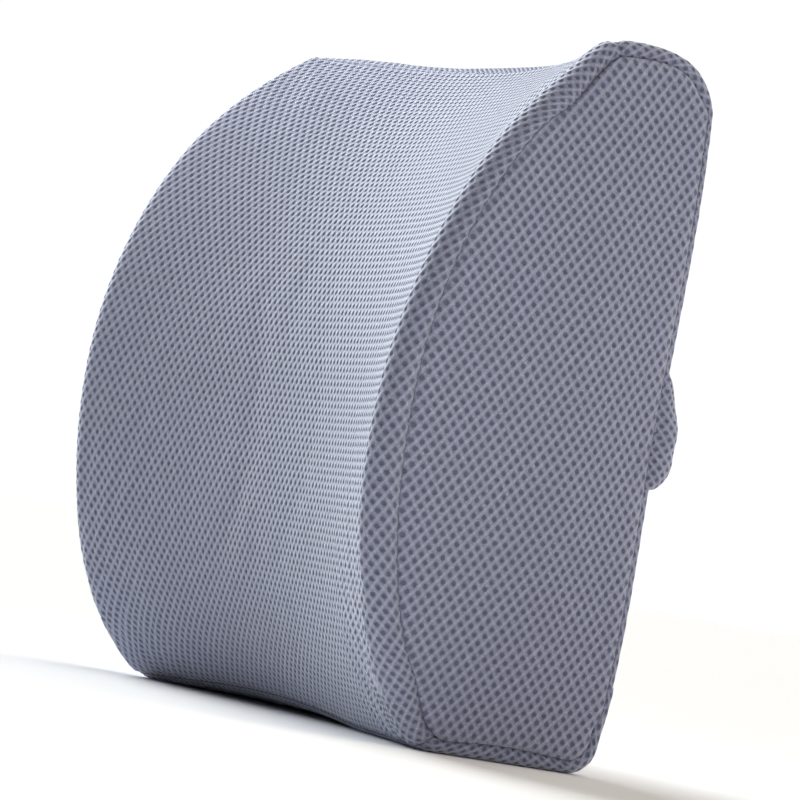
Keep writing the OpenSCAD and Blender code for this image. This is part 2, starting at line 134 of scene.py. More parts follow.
# the rounded top: how far its line runs level from the front and upright from the back
TOP_CROWN = np.array([28.0, 3.0])
TOP_REAR_Z, TOP_REAR_REACH = BODY_H - 28.0, 31.0
SIDE_CENTRE = np.array([50.0, 150.0])

# the cover's cloth: cells of two staggered holes, drawn with STEPS points a side, how deep
# a hole sinks, and where the knit fades out beside an edge
CELL_U, CELL_V = 5.05, 6.6
STEPS = 4
HOLE_DEPTH, WEB_RISE = 0.6, 0.12
KNIT_EDGE, KNIT_FADE = 0.8, 2.5
CLOTH_T = 2.4
# half the gap between two sewn panels, the groove that the seam draws, the most that the
# cloth sinks beside a seam, and the gap between the lips beyond the zip's ends
SEAM_HALF = 0.1
GROOVE_DEPTH, GROOVE_W = 1.15, 2.1
DROP_CAP = GROOVE_DEPTH + 0.2
LIP_GAP = 0.04
# the lowest that the cover comes to the floor
FLOOR_GAP = 0.15

ZIP_Z = float(sum(c[2] for c in box_mm("zip_slider")) / 2)
SLOT_LO, SLOT_HI = LOWER_HI[2], ZIP_Z * 2 - LOWER_HI[2]
STRAP_Z = float(sum(c[2] for c in box_mm("strap_webbing_right")) / 2)


# ---------------------------------------------------------------- outline of the wings

def arc(centre, r, a0, a1, n=40):
    """Points of an arc, between two angles in degrees."""
    a = np.radians(np.linspace(a0, a1, n + 1))
    return centre + r * np.column_stack((np.cos(a), np.sin(a)))


def on_arc(centre, r, angle):
    """The point of an arc at one angle."""
    return arc(centre, r, angle, angle, 0)[0]


def bezier(p0, p1, p2, p3, n=120):
    """Points of a curve from p0 to p3 that starts towards p1 and comes in from p2."""
    t = np.linspace(0, 1, n + 1)[:, None]
    s = 1 - t
    return s ** 3 * p0 + 3 * s * s * t * p1 + 3 * s * t * t * p2 + t ** 3 * p3


def line(a, b):
    return np.array([a, b], float)


def resample(points, count):
    """The same line as count + 1 points, equally far apart."""
    gaps = np.linalg.norm(np.diff(points, axis=0), axis=1)
    keep = np.concatenate(([True], gaps > 1e-9))
    points = points[keep]
    along = np.concatenate(([0], np.cumsum(gaps[gaps > 1e-9])))
    at = np.linspace(0, along[-1], count + 1)
    return np.column_stack([np.interp(at, along, points[:, k])
                            for k in range(points.shape[1])])


def length(points):
    return float(np.linalg.norm(np.diff(points, axis=0), axis=1).sum())


def front_curve():
    """The front of a wing, from the top edge to the base edge."""
    start = on_arc(TOP_FRONT, TOP_R, TOP_TURN)
    end = on_arc(BASE_FRONT, BASE_R, BASE_TURN)
    bulge = np.array([BULGE_D, BULGE_Z])
    a, b = math.radians(TOP_TURN), math.radians(BASE_TURN)
    upper = bezier(start, start + UPPER_STARTS[0] * np.array([math.sin(a), -math.cos(a)]),
                   bulge + (0, UPPER_STARTS[1]), bulge)
    lower = bezier(bulge, bulge - (0, LOWER_STARTS[0]),
                   end - LOWER_STARTS[1] * np.array([math.sin(b), -math.cos(b)]), end)
    return np.vstack((upper, lower))


def front_profile(gap):
    """The front panel's line, a gap away from the seams at both its ends."""
    top = math.degrees(gap / TOP_R)
    base = math.degrees(gap / BASE_R)
    return np.vstack((arc(TOP_FRONT, TOP_R, 90 - top, TOP_TURN), front_curve(),
                      arc(BASE_FRONT, BASE_R, BASE_TURN, BASE_SEAM_ANGLE + base)))


def upper_profile(gap, low):
    """The top and the back, from the top seam down to the zip."""
    start = on_arc(TOP_FRONT, TOP_R, 90) - (gap, 0)
    end = np.array([0, TOP_REAR_Z])
    return np.vstack((bezier(start, start + TOP_CROWN * (-1, 1),
                             end + (0, TOP_REAR_REACH), end), line(end, [0, low])))


def lower_profile(gap, high):
    """The back below the zip and the base, to the seam under the front."""
    base = math.degrees(gap / BASE_R)
    return np.vstack((line([0, high], [0, BACK_R]), arc(BASE_BACK, BACK_R, 180, 270),
                      arc(BASE_FRONT, BASE_R, -90, BASE_SEAM_ANGLE - base)))


def whole_profile():
    """The closed outline of a wing, seen from its side."""
    return np.vstack((front_profile(0), lower_profile(0, BACK_R + 1)[::-1],
                      upper_profile(0, BACK_R + 1)[::-1]))


# ---------------------------------------------------------------- the body's surface

def mix(a, b, t):
    return a + (b - a) * t


def smooth(t):
    t = np.clip(t, 0, 1)
    return t * t * (3 - 2 * t)


def bell(t, middle, reach):
    """1 at the middle, dying out on both sides of it."""
    return np.exp(-((t - middle) / reach) ** 2)


def half_w(z):
    """Half the body's width at a height."""
    return BODY_W / 2 - SIDE_TAPER * (np.abs(z - MID_Z) / MID_Z) ** 2.5


def front_share(p):
    """1 on the front of the body and 0 on its top, back and base."""
    above, below = (smooth((p[:, 0] - start) / reach)
                    for start, reach in (FRONT_ABOVE, FRONT_BELOW))
    return np.where(p[:, 1] > MID_Z, above, below)


def rear_share(p):
    """1 on the flat of the back, 0 on the rest of the outline."""
    between = smooth((p[:, 1] - 14) / 16) * smooth((TOP_REAR_Z + 19 - p[:, 1]) / 15)
    return smooth((9 - p[:, 0]) / 8) * between


def side_r(p):
    """Radius of the edge between the outline and a side."""
    return mix(mix(EDGE_R, REAR_EDGE_R, rear_share(p)), RIDGE_R, front_share(p))


def seam_in(p):
    """Distance of the side seam from the outline."""
    ends = np.clip(np.minimum(BODY_H - p[:, 1], p[:, 1]) / 30, 0, 1)
    edge = mix(SEAM_EDGE, SEAM_REAR, rear_share(p))
    return mix(edge, mix(SEAM_EDGE + 2, SEAM_FRONT, smooth(ends)), front_share(p))


def inward(p):
    """The way from the outline into the body, as unit steps of depth and height."""
    w = np.column_stack((CORE_DEPTH - p[:, 0], np.clip(p[:, 1], CORE_LO, CORE_HI) - p[:, 1]))
    return w / np.linalg.norm(w, axis=1)[:, None]


def dip_full(z):
    """Depth of the hollow at mid width."""
    over = np.abs((z - BULGE_Z) / (BODY_H - BULGE_Z)) ** 1.5
    under = np.abs((BULGE_Z - z) / BULGE_Z) ** 1.5
    return np.where(z > BULGE_Z, mix(DIP_BULGE, DIP_TOP, over), mix(DIP_BULGE, DIP_BASE, under))


def settled(points):
    """Where the stuffed cushion leaves its even shape: the strap draws its back edges in,
    the left wing is a little fuller towards the top and the base, and the base stands on
    its wings, with the front edge between them a little off the floor."""
    x, y, z = points[..., 0], points[..., 1], points[..., 2]
    rear = (smooth((y - BACK_Y + DRAW_DEPTH) / DRAW_DEPTH)
            * smooth((np.abs(x) - DRAW_FROM_X) / 25))
    drawn = rear * bell(z, STRAP_Z, DRAW_REACH)
    wing = smooth((-x - 30) / 120) * smooth((BACK_Y - 15 - y) / 30)
    full = (WING_LOW * bell(z, WING_LOW_Z, WING_LOW_REACH)
            + WING_HIGH * bell(z, WING_HIGH_Z, WING_HIGH_REACH))
    arch = ARCH * np.clip(1 - ((x - ARCH_X) / ARCH_HALF) ** 2, 0, 1) ** 1.5
    lift = arch * smooth((BACK_Y - 12 - y) / 52) * (1 - smooth(z / ARCH_UP))
    return np.stack((x - np.sign(x) * DRAW_X * drawn,
                     y - DRAW_Y * drawn - wing * full, z + lift), -1)


def ridge_lean(p):
    """The slope at which the hollow of the front meets its ridges, as an angle."""
    slope = 2 * dip_full(p[:, 1]) / (half_w(p[:, 1]) - 12)
    return np.arctan(slope * front_share(p))[:, None]


def ridge_pull(p, s):
    """How far the upper part of the right ridge lies inside the outline."""
    pull = PULL * bell(p[:, 1], PULL_Z, PULL_REACH) * front_share(p)
    room = np.maximum(seam_in(p) - side_r(p) - 0.2, 0)
    return np.minimum(pull, room)[:, None] * smooth((s - 0.3) / 0.7)


def body_points(p, s, d):
    """Points of the body's surface, d inside it. p is the outline, one point a row; s runs
    across: -1 to 1 on the front or back, to 2 round an edge, to 3 over the side's rim."""
    z = p[:, 1][:, None]
    a = np.abs(s)
    r = np.maximum(side_r(p), d + 0.4)[:, None]
    to_seam = np.maximum(seam_in(p)[:, None], r + 0.2)
    lean, pull = ridge_lean(p), ridge_pull(p, s)
    level = half_w(z) - r - (r - d) * np.sin(lean)
    turn = np.clip(a - 1, 0, 1) * (math.pi / 2 + lean) - lean
    rim = np.clip(a - 2, 0, 1)
    x = np.minimum(a, 1) * level + (r - d) * (np.sin(turn) + np.sin(lean))
    e = pull + r - (r - d) * np.cos(turn) + (to_seam - pull - r) * rim
    q = p[:, None, :] + inward(p)[:, None, :] * e[..., None]
    flat = np.where(p[:, 1] > MID_Z, TOP_FRONT[0] + 5, BASE_FRONT[0] + 8)
    depth = mix(flat, p[:, 0], front_share(p))[:, None]
    room = np.maximum(depth - DIP_START - DIP_FULL, 1)
    share = np.clip((q[..., 0] - DIP_START) / room, 0, 1)
    dip = dip_full(z) * np.clip(1 - s * s, 0, 1) * share
    sag = SAG * np.clip((z - SAG_Z) / (BODY_H - SAG_Z), 0, 1)
    return settled(np.stack((np.sign(s) * x, BACK_Y - q[..., 0] + dip,
                             q[..., 1] - dip * sag), -1))


def stations(p, q, gap):
    """Station s for a share q of the way from the middle to the side seam, measured on the
    cloth, and the distance left to that seam."""
    r = side_r(p)[:, None]
    lean = ridge_lean(p)
    c = half_w(p[:, 1])[:, None] - r * (1 + np.sin(lean))
    quarter = r * (math.pi / 2 + lean)
    rim = seam_in(p)[:, None] - r - ridge_pull(p, np.sign(q))
    total = c + quarter + rim - gap
    along = np.abs(q) * total
    s = np.where(along <= c, along / c, np.where(
        along <= c + quarter, 1 + (along - c) / quarter, 2 + (along - c - quarter) / rim))
    return np.sign(q) * s, total - along


def grid_normals(points, outward_of):
    """Unit normals of a grid of points, turned away from the point outward_of."""
    across = np.gradient(points, axis=1)
    down = np.gradient(points, axis=0)
    n = np.cross(across, down)
    n /= np.maximum(np.linalg.norm(n, axis=2), 1e-9)[..., None]
    facing = ((points - outward_of) * n).sum(2).sum()
    return n if facing > 0 else -n


# ---------------------------------------------------------------- making meshes

def tube_faces(first, rings, sides):
    """Faces of a closed tube, from rings of points that start at number first."""
    faces = []
    for i in range(rings - 1):
        for k in range(sides):
            a, b = first + i * sides + k, first + i * sides + (k + 1) % sides
            faces.append((a, b, b + sides, a + sides))
    for end in (first, first + (rings - 1) * sides):
        faces.append(tuple(range(end, end + sides)))
    return faces


def new_object(name, verts, faces, uv=None, sharp=None):
    """A mesh object from millimetre points, all shaded smooth. uv is one pair a point."""
    mesh = bpy.data.meshes.new(name)
    mesh.from_pydata((np.asarray(verts, float) * MM).tolist(), [], faces)
    mesh.validate()
    if uv is not None:
        layer = mesh.uv_layers.new(name="weave")
        index = np.empty(len(mesh.loops), np.int32)
        mesh.loops.foreach_get("vertex_index", index)
        layer.data.foreach_set("uv", np.asarray(uv, np.float32)[index].ravel())
    bm = bmesh.new()
    bm.from_mesh(mesh)
    bmesh.ops.recalc_face_normals(bm, faces=bm.faces)
    bm.to_mesh(mesh)
    bm.free()
    mesh.polygons.foreach_set("use_smooth", [True] * len(mesh.polygons))
    if sharp:
        mesh.set_sharp_from_angle(angle=math.radians(sharp))
    obj = bpy.data.objects.new(name, mesh)
    bpy.context.scene.collection.objects.link(obj)
    return obj


def knit(rows, cols, edge):
    """How deep the knit sinks at points given by grid row and column. edge is how far each
    one is from the edge of the sheet."""
    r, c = rows % STEPS, cols % STEPS
    half = STEPS // 2
    holes = ((r == 0) & (c == 0)) | ((r == half) & (c == half))
    webs = ((r == 0) & (c == half)) | ((r == half) & (c == 0))
    return smooth((edge - KNIT_EDGE) / KNIT_FADE) * (HOLE_DEPTH * holes - WEB_RISE * webs)


def cloth_quads(rows, cols):
    """Faces of a cloth grid. Their corners are ordered so that the fold across each face
    misses the hole at its corner, which leaves even, four-sided dents."""
    faces = []
    for r in range(rows - 1):
        for c in range(cols - 1):
            a, b = r * cols + c, (r + 1) * cols + c
            if (r - c) % STEPS == 0:
                faces.append((a + 1, b + 1, b, a))
            else:
                faces.append((a, a + 1, b + 1, b))
    return faces


def closed_sheet(name, outer, inner, uv_way=1):
    """A sheet of cloth with thickness: a fine outer grid, a coarse inner one with a point at
    each cell of it, and faces that close its four borders."""
    rows, cols = outer.shape[:2]
    fine = rows * cols
    small = inner[::STEPS, ::STEPS]
    in_rows, in_cols = small.shape[:2]

    def low(i, j):
        return fine + i * in_cols + j

    faces = cloth_quads(rows, cols)
    for i in range(in_rows - 1):
        for j in range(in_cols - 1):
            faces.append((low(i, j), low(i + 1, j), low(i + 1, j + 1), low(i, j + 1)))
    for i, r in ((0, 0), (in_rows - 1, rows - 1)):
        for j in range(in_cols - 1):
            rim = [r * cols + j * STEPS + k for k in range(STEPS + 1)]
            faces.append(tuple(rim + [low(i, j + 1), low(i, j)]))
    for j, c in ((0, 0), (in_cols - 1, cols - 1)):
        for i in range(in_rows - 1):
            rim = [(i * STEPS + k) * cols + c for k in range(STEPS + 1)]
            faces.append(tuple(rim + [low(i + 1, j), low(i, j)]))
    verts = np.vstack((outer.reshape(-1, 3), small.reshape(-1, 3)))
    v, u = np.indices((rows, cols)) / STEPS
    uv = np.stack((uv_way * u, -v), -1)
    uvs = np.vstack((uv.reshape(-1, 2), uv[::STEPS, ::STEPS].reshape(-1, 2)))
    return new_object(name, verts, faces, uvs, sharp=75)


def grid_sheet(name, top, bottom, uv, sharp=50):
    """A sheet with thickness between two grids of the same size."""
    rows, cols = top.shape[:2]
    count = rows * cols
    faces = []
    for r in range(rows - 1):
        for c in range(cols - 1):
            a, b = r * cols + c, (r + 1) * cols + c
            faces.append((a, a + 1, b + 1, b))
            faces.append((count + a, count + b, count + b + 1, count + a + 1))
    border = ([(0, c) for c in range(cols)] + [(r, cols - 1) for r in range(1, rows)]
              + [(rows - 1, c) for c in range(cols - 2, -1, -1)]
              + [(r, 0) for r in range(rows - 2, 0, -1)])
    ring = [r * cols + c for r, c in border]
    for a, b in zip(ring, ring[1:] + ring[:1]):
        faces.append((a, b, count + b, count + a))
    verts = np.vstack((top.reshape(-1, 3), bottom.reshape(-1, 3)))
    return new_object(name, verts, faces, np.vstack((uv.reshape(-1, 2),) * 2), sharp=sharp)


# ---------------------------------------------------------------- cloth simulation

# points of the simulated skin round the body, across it, and rings on each side
SKIN_ROUND, SKIN_ACROSS, SKIN_RINGS = 132, 44, 12
# the simulation's pressure, the weight of a point and its number of frames
SWELL_PRESSURE, SWELL_MASS, SWELL_STEPS = 4, 0.3, 20
# the furthest that the swollen skin moves
SWELL_CAP = 2.6
# the share of the swelling that the chair takes from the back, and how far above and below
# the strap's middle it takes nearly all of it
CHAIR_HOLD, STRAP_HOLD = 0.65, 34.0
# how far the coarse skin's movement is evened out over the cloth, and from how many points
SWELL_BLUR, SWELL_NEAR = 6.5, 14


def side_points(p, past, f):
    """Points of a flat side, from the side seam (f = 0) to its middle (f = 1), as
    (depth, height)."""
    seam = p + inward(p) * (seam_in(p) + past)[:, None]
    return mix(seam, SIDE_CENTRE, f)


def skin_rings(d, round_count, across, ring_count):
    """Closed rings of points from the middle of one side, over the body, to the other."""
    p = resample(whole_profile(), round_count)[:-1]
    s = stations(p, np.linspace(-1, 1, across + 1)[None, :] * np.ones((len(p), 1)), 0)[0]
    body = body_points(p, s, d).transpose(1, 0, 2)
    sides = []
    for f in np.linspace(0, 1, ring_count + 2)[1:-1]:
        g = side_points(p, np.zeros(len(p)), f)
        sides.append(np.column_stack((half_w(g[:, 1]) - d, BACK_Y - g[:, 0], g[:, 1])))
    flip = np.array([-1, 1, 1])
    left = [settled(ring * flip) for ring in sides[::-1]]
    return np.array(left + list(body) + [settled(ring) for ring in sides]), p


def closed_skin(d, round_count, across, ring_count):
    """Points and faces of a closed skin that lies d inside the cover, and its outline."""
    rings, p = skin_rings(d, round_count, across, ring_count)
    n = rings.shape[1]
    end = (len(rings) - 1) * n
    first, last = end + n, end + n + 1
    faces = [(i * n + j, (i + 1) * n + j, (i + 1) * n + (j + 1) % n, i * n + (j + 1) % n)
             for i in range(len(rings) - 1) for j in range(n)]
    faces += [(j, (j + 1) % n, first) for j in range(n)]
    faces += [(end + (j + 1) % n, end + j, last) for j in range(n)]
    x = half_w(SIDE_CENTRE[1]) - d
    y, z = BACK_Y - SIDE_CENTRE[0], SIDE_CENTRE[1]
    return np.vstack((rings.reshape(-1, 3), [[-x, y, z], [x, y, z]])), faces, p


def swollen_skin():
    """The cover as a coarse closed skin, held at its seams and blown up a little by a cloth
    simulation. Returns the points at rest and how far each one moved, in millimetres."""
    verts, faces, p = closed_skin(0, SKIN_ROUND, SKIN_ACROSS, SKIN_RINGS)
    skin = new_object("cover_skin", verts, faces)
    held = skin.vertex_groups.new(name="seams")
    seam_spots = [on_arc(TOP_FRONT, TOP_R, 90), on_arc(BASE_FRONT, BASE_R, BASE_SEAM_ANGLE),
                  np.array([0, SLOT_LO]), np.array([0, SLOT_HI])]
    rows = [int(np.argmin(np.linalg.norm(p - spot, axis=1))) for spot in seam_spots]
    n = len(p)
    pinned = [i * n + j for i in (SKIN_RINGS, SKIN_RINGS + SKIN_ACROSS) for j in range(n)]
    pinned += [i * n + j for i in range(SKIN_RINGS, SKIN_RINGS + SKIN_ACROSS + 1) for j in rows]
    held.add(sorted(set(pinned)), 1.0, "REPLACE")
    cloth = skin.modifiers.new("swell", "CLOTH")
    settings = cloth.settings
    settings.quality = 4
    settings.mass = SWELL_MASS
    settings.use_pressure = True
    settings.uniform_pressure_force = SWELL_PRESSURE
    settings.vertex_group_mass = "seams"
    settings.effector_weights.gravity = 0
    scene = bpy.context.scene
    for step in range(SWELL_STEPS):
        scene.frame_set(step + 1)
    shown = skin.evaluated_get(bpy.context.evaluated_depsgraph_get())
    moved = np.empty(len(verts) * 3, np.float32)
    shown.data.vertices.foreach_get("co", moved)
    shift = moved.reshape(-1, 3) / MM - verts
    scene.frame_set(1)
    bpy.data.objects.remove(skin)
    # the chair keeps the back flatter, most of all under the strap
    hold = mix(CHAIR_HOLD, 1, bell(verts[:, 2], STRAP_Z, STRAP_HOLD))
    shift *= (1 - smooth((verts[:, 1] - BACK_Y + 8) / 6) * hold)[:, None]
    far = np.linalg.norm(shift, axis=1)[:, None]
    return verts, shift * (SWELL_CAP * np.tanh(far / SWELL_CAP) / np.maximum(far, 1e-6))


SKIN, SKIN_SHIFT = swollen_skin()
SKIN_TREE = kdtree.KDTree(len(SKIN))
for number, point in enumerate(SKIN):
    SKIN_TREE.insert(point, number)
SKIN_TREE.balance()


def swelled(points):
    """Points of the cover, moved as the simulated skin moved nearby."""
    flat = points.reshape(-1, 3)
    if not SKIN_SHIFT.any():
        return points
    out = np.empty_like(flat)
    for k, point in enumerate(flat):
        near = SKIN_TREE.find_n(point, SWELL_NEAR)
        weight = np.array([math.exp(-(distance / SWELL_BLUR) ** 2) for _, _, distance in near])
        out[k] = (SKIN_SHIFT[[i for _, i, _ in near]] * weight[:, None]).sum(0) / weight.sum()
    return points + out.reshape(points.shape)


# ---------------------------------------------------------------- materials

def add(tree, kind, inputs=None, **props):
    """A shader node. inputs maps a socket's name or number to a value or another socket."""
    made = tree.nodes.new(kind)
    for key, value in props.items():
        setattr(made, key, value)
    for key, value in (inputs or {}).items():
        socket = made.inputs[key]
        if isinstance(value, bpy.types.NodeSocket):
            tree.links.new(value, socket)
        else:
            socket.default_value = value
    return made


def maths(tree, operation, a, b=0.0, c=0.0):
    return add(tree, "ShaderNodeMath", {0: a, 1: b, 2: c}, operation=operation).outputs[0]


def plus(tree, a, b):
    return maths(tree, "ADD", a, b)


def times(tree, a, b):
    return maths(tree, "MULTIPLY", a, b)


def vector_maths(tree, operation, a, b=(0, 0, 0)):
    made = add(tree, "ShaderNodeVectorMath", {0: a, 1: b}, operation=operation)
    return made.outputs["Value" if operation == "LENGTH" else "Vector"]


def ramp(tree, value, lo, hi, out_lo, out_hi):
    return add(tree, "ShaderNodeMapRange", {
        "Value": value, "From Min": lo, "From Max": hi, "To Min": out_lo, "To Max": out_hi,
    }, interpolation_type="SMOOTHSTEP").outputs[0]


def blend_colour(tree, share, a, b, mode="MIX"):
    made = add(tree, "ShaderNodeMix", data_type="RGBA", blend_type=mode)
    for socket, value in ((0, share), (6, a), (7, b)):
        if isinstance(value, bpy.types.NodeSocket):
            tree.links.new(value, made.inputs[socket])
        else:
            made.inputs[socket].default_value = value
    return made.outputs[2]


def object_place(tree):
    return add(tree, "ShaderNodeTexCoord").outputs["Object"]


def noise(tree, scale, detail=3, roughness=0.5):
    """Cloudy noise from 0 to 1, so many patches a metre."""
    return add(tree, "ShaderNodeTexNoise", {
        "Vector": object_place(tree), "Scale": scale, "Detail": detail,
        "Roughness": roughness}).outputs[0]


def srgb(r, g, b):
    """A colour from 0 to 255 as people see it, in the linear values that shaders use."""
    def linear(v):
        v /= 255
        return v / 12.92 if v <= 0.04045 else ((v + 0.055) / 1.055) ** 2.4
    return (linear(r), linear(g), linear(b), 1.0)


def new_material(name, roughness=0.8):
    material = bpy.data.materials.new(name)
    material.use_nodes = True
    tree = material.node_tree
    shader = tree.nodes["Principled BSDF"]
    shader.inputs["Roughness"].default_value = roughness
    return material, tree, shader


def set_surface(tree, shader, colour, height, bump_mm, strength=1.0, roughness=None):
    """Joins a material's colour, its relief and, where it varies, its roughness."""
    bump = add(tree, "ShaderNodeBump", {
        "Height": height, "Distance": bump_mm * MM, "Strength": strength}).outputs[0]
    for socket, value in (("Base Color", colour), ("Normal", bump), ("Roughness", roughness)):
        if value is not None:
            tree.links.new(value, shader.inputs[socket])


def brighter(colour, times):
    """A colour made lighter or darker, and no lighter than white."""
    return [min(1, c * times) for c in colour[:3]] + [1]


def knit_pattern(tree):
    """The knit as values from 0 to 1, drawn from the weave layer: its round openings, the
    two sets of yarns that cross between them, and, from -1 to 1, fine ribs."""
    weave = add(tree, "ShaderNodeUVMap", uv_map="weave").outputs[0]
    distances = []
    for start in ((0.5, 0.5, 0), (0, 0, 0)):
        part = vector_maths(tree, "FRACTION", vector_maths(tree, "ADD", weave, start))
        from_hole = vector_maths(tree, "SUBTRACT", part, (0.5, 0.5, 0))
        distances.append(vector_maths(
            tree, "LENGTH", vector_maths(tree, "MULTIPLY", from_hole, (CELL_U, CELL_V, 0))))
    nearest = maths(tree, "MINIMUM", distances[0], distances[1])
    opening = ramp(tree, nearest, 0.55, 1.6, 1, 0)
    split = add(tree, "ShaderNodeSeparateXYZ", {0: weave})
    u, v = split.outputs[0], split.outputs[1]
    yarns = []
    for slanted in (maths(tree, "SUBTRACT", u, v), plus(tree, u, v)):
        off = maths(tree, "ABSOLUTE", maths(
            tree, "SUBTRACT", maths(tree, "FRACT", slanted), 0.5))
        yarns.append(ramp(tree, off, 0.0, 0.3, 1, 0))
    ribs = maths(tree, "SINE", times(tree, plus(tree, v, times(tree, u, 0.5)),
                                     2 * math.pi * 5))
    return opening, yarns, ribs


def mesh_fabric(name, yarn, hole, glint, sheen):
    """Warp-knit spacer mesh: staggered round holes, yarns that cross between them, mottling and a
    soft sheen. The yarns' middles carry a painted highlight in the glint colour, stronger on the
    rising set, and painted glints of the same colour show as bright specks here and there. The
    holes are painted dark: the darker inner layer seen through them, with painted shade of their
    depth."""
    material, tree, shader = new_material(name, 0.75)
    opening, yarns, ribs = knit_pattern(tree)
    base = blend_colour(tree, noise(tree, 9, 2), yarn, brighter(yarn, 0.88))
    # painted highlight: the yarns' middles are blended towards the glint colour, the rising set
    # more than the falling one
    light = plus(tree, times(tree, yarns[0], 0.42), times(tree, yarns[1], 0.25))
    base = blend_colour(tree, light, base, glint)
    speckle = maths(tree, "SUBTRACT", noise(tree, 420, 3, roughness=0.7), 0.5)
    shade = plus(tree, 1.0, plus(tree, times(tree, ribs, 0.04), times(tree, speckle, 0.5)))
    grey = add(tree, "ShaderNodeCombineColor", {k: shade for k in range(3)}).outputs[0]
    base = blend_colour(tree, 1.0, base, grey, "MULTIPLY")
    # painted glints: small bright specks blended towards the glint colour
    glint_specks = ramp(tree, noise(tree, 780, 2, roughness=0.6), 0.56, 0.7, 0, 0.6)
    base = blend_colour(tree, glint_specks, base, glint)
    # the openings' colour: the darker inner layer seen through them, with painted shade of their
    # depth, mottled warmer in places
    deep = blend_colour(tree, noise(tree, 35, 2), hole,
                        (hole[0] * 1.14, hole[1] * 1.08, hole[2] * 0.96, 1))
    height = plus(tree, times(tree, opening, -1.0),
                  plus(tree, times(tree, yarns[0], 0.3), times(tree, ribs, 0.06)))
    set_surface(tree, shader, blend_colour(tree, opening, base, deep), height, 0.5,
                roughness=ramp(tree, opening, 0, 1, 0.68, 0.95))
    shader.inputs["Sheen Weight"].default_value = sheen
    shader.inputs["Sheen Roughness"].default_value = 0.45
    shader.inputs["Specular IOR Level"].default_value = 0.3
    return material


def yarn_material(name, colour, dark):
    """Twisted sewing thread."""
    material, tree, shader = new_material(name, 0.6)
    twist = noise(tree, 1500, 2)
    set_surface(tree, shader, blend_colour(tree, twist, colour, dark), twist, 0.15, 0.6)
    shader.inputs["Sheen Weight"].default_value = 0.3
    return material


def foam_material():
    """Slow-rebound foam: cream, with fine open cells whose pores are painted darker as painted
    shade, and a darker skin in places.
    """
    material, tree, shader = new_material("foam", 0.9)
    cells = add(tree, "ShaderNodeTexVoronoi", {
        "Vector": object_place(tree), "Scale": 900}).outputs[0]
    tone = blend_colour(tree, noise(tree, 14, 4), srgb(238, 231, 208), srgb(222, 209, 176))
    # painted shade: the pores of the open cells are darkened towards a brown
    pore_shade = ramp(tree, cells, 0.05, 0.4, 0.55, 0)
    pore_shaded = blend_colour(tree, pore_shade, tone, srgb(176, 158, 120))
    set_surface(tree, shader, pore_shaded, cells, 0.4, 0.7)
    shader.inputs["Subsurface Weight"].default_value = 0.05
    return material


def liner_material():
    """Thin plain-woven inner cloth."""
    material, tree, shader = new_material("liner", 0.85)
    place = object_place(tree)
    lines = [add(tree, "ShaderNodeTexWave", {"Vector": place, "Scale": 260, "Distortion": 0.4},
                 bands_direction=way).outputs["Fac"] for way in ("X", "Z")]
    weave = times(tree, lines[0], lines[1])
    tone = blend_colour(tree, noise(tree, 20, 3), srgb(226, 228, 234), srgb(206, 208, 217))
    woven = blend_colour(tree, times(tree, weave, 0.35), tone, srgb(178, 181, 194))
    set_surface(tree, shader, woven, weave, 0.15, 0.6)
    return material


def woven_band(name, light, dark, threads, roughness=0.75):
    """Woven tape or webbing. The weave layer holds millimetres along and across it."""
    material, tree, shader = new_material(name, roughness)
    split = add(tree, "ShaderNodeSeparateXYZ", {
        0: add(tree, "ShaderNodeUVMap", uv_map="weave").outputs[0]})
    along, across = split.outputs[0], split.outputs[1]
    turn = 2 * math.pi / threads
    warp, weft = (maths(tree, "SINE", times(tree, way, turn)) for way in (across, along))
    lit = ramp(tree, times(tree, warp, weft), -1, 1, 0, 1)
    dust = noise(tree, 600, 3, roughness=0.7)
    colour = blend_colour(tree, lit, dark, light)
    colour = blend_colour(tree, times(tree, ramp(tree, dust, 0.5, 0.8, 0, 1), 0.25),
                          colour, brighter(light, 2.2))
    height = plus(tree, lit, times(tree, warp, 0.3))
    set_surface(tree, shader, colour, height, 0.25, 0.8)
    shader.inputs["Sheen Weight"].default_value = 0.25
    return material


def moulded_plastic(name, colour):
    """Textured black acetal with a fine spark-eroded grain and handling marks."""
    material, tree, shader = new_material(name, 0.42)
    grain = noise(tree, 2600, 4, roughness=0.65)
    marks = noise(tree, 55, 4)
    handled = blend_colour(tree, ramp(tree, marks, 0.35, 0.75, 0, 0.6), colour,
                           brighter(colour, 1.7))
    set_surface(tree, shader, handled, grain, 0.06, 0.7, ramp(tree, marks, 0.3, 0.7, 0.34, 0.56))
    return material


def zip_metal(name, colour):
    """Dark plated die casting with rubbed patches and fine scratches."""
    material, tree, shader = new_material(name, 0.35)
    shader.inputs["Metallic"].default_value = 0.9
    rubbed = noise(tree, 240, 4)
    stretched = vector_maths(tree, "MULTIPLY", object_place(tree), (0.15, 1, 1))
    scratch = add(tree, "ShaderNodeTexNoise", {
        "Vector": stretched, "Scale": 2400, "Detail": 3}).outputs[0]
    worn = blend_colour(tree, ramp(tree, rubbed, 0.45, 0.7, 0, 1), colour, brighter(colour, 2))
    set_surface(tree, shader, worn, scratch, 0.04, 0.5,
                ramp(tree, scratch, 0.35, 0.65, 0.25, 0.5))
    return material


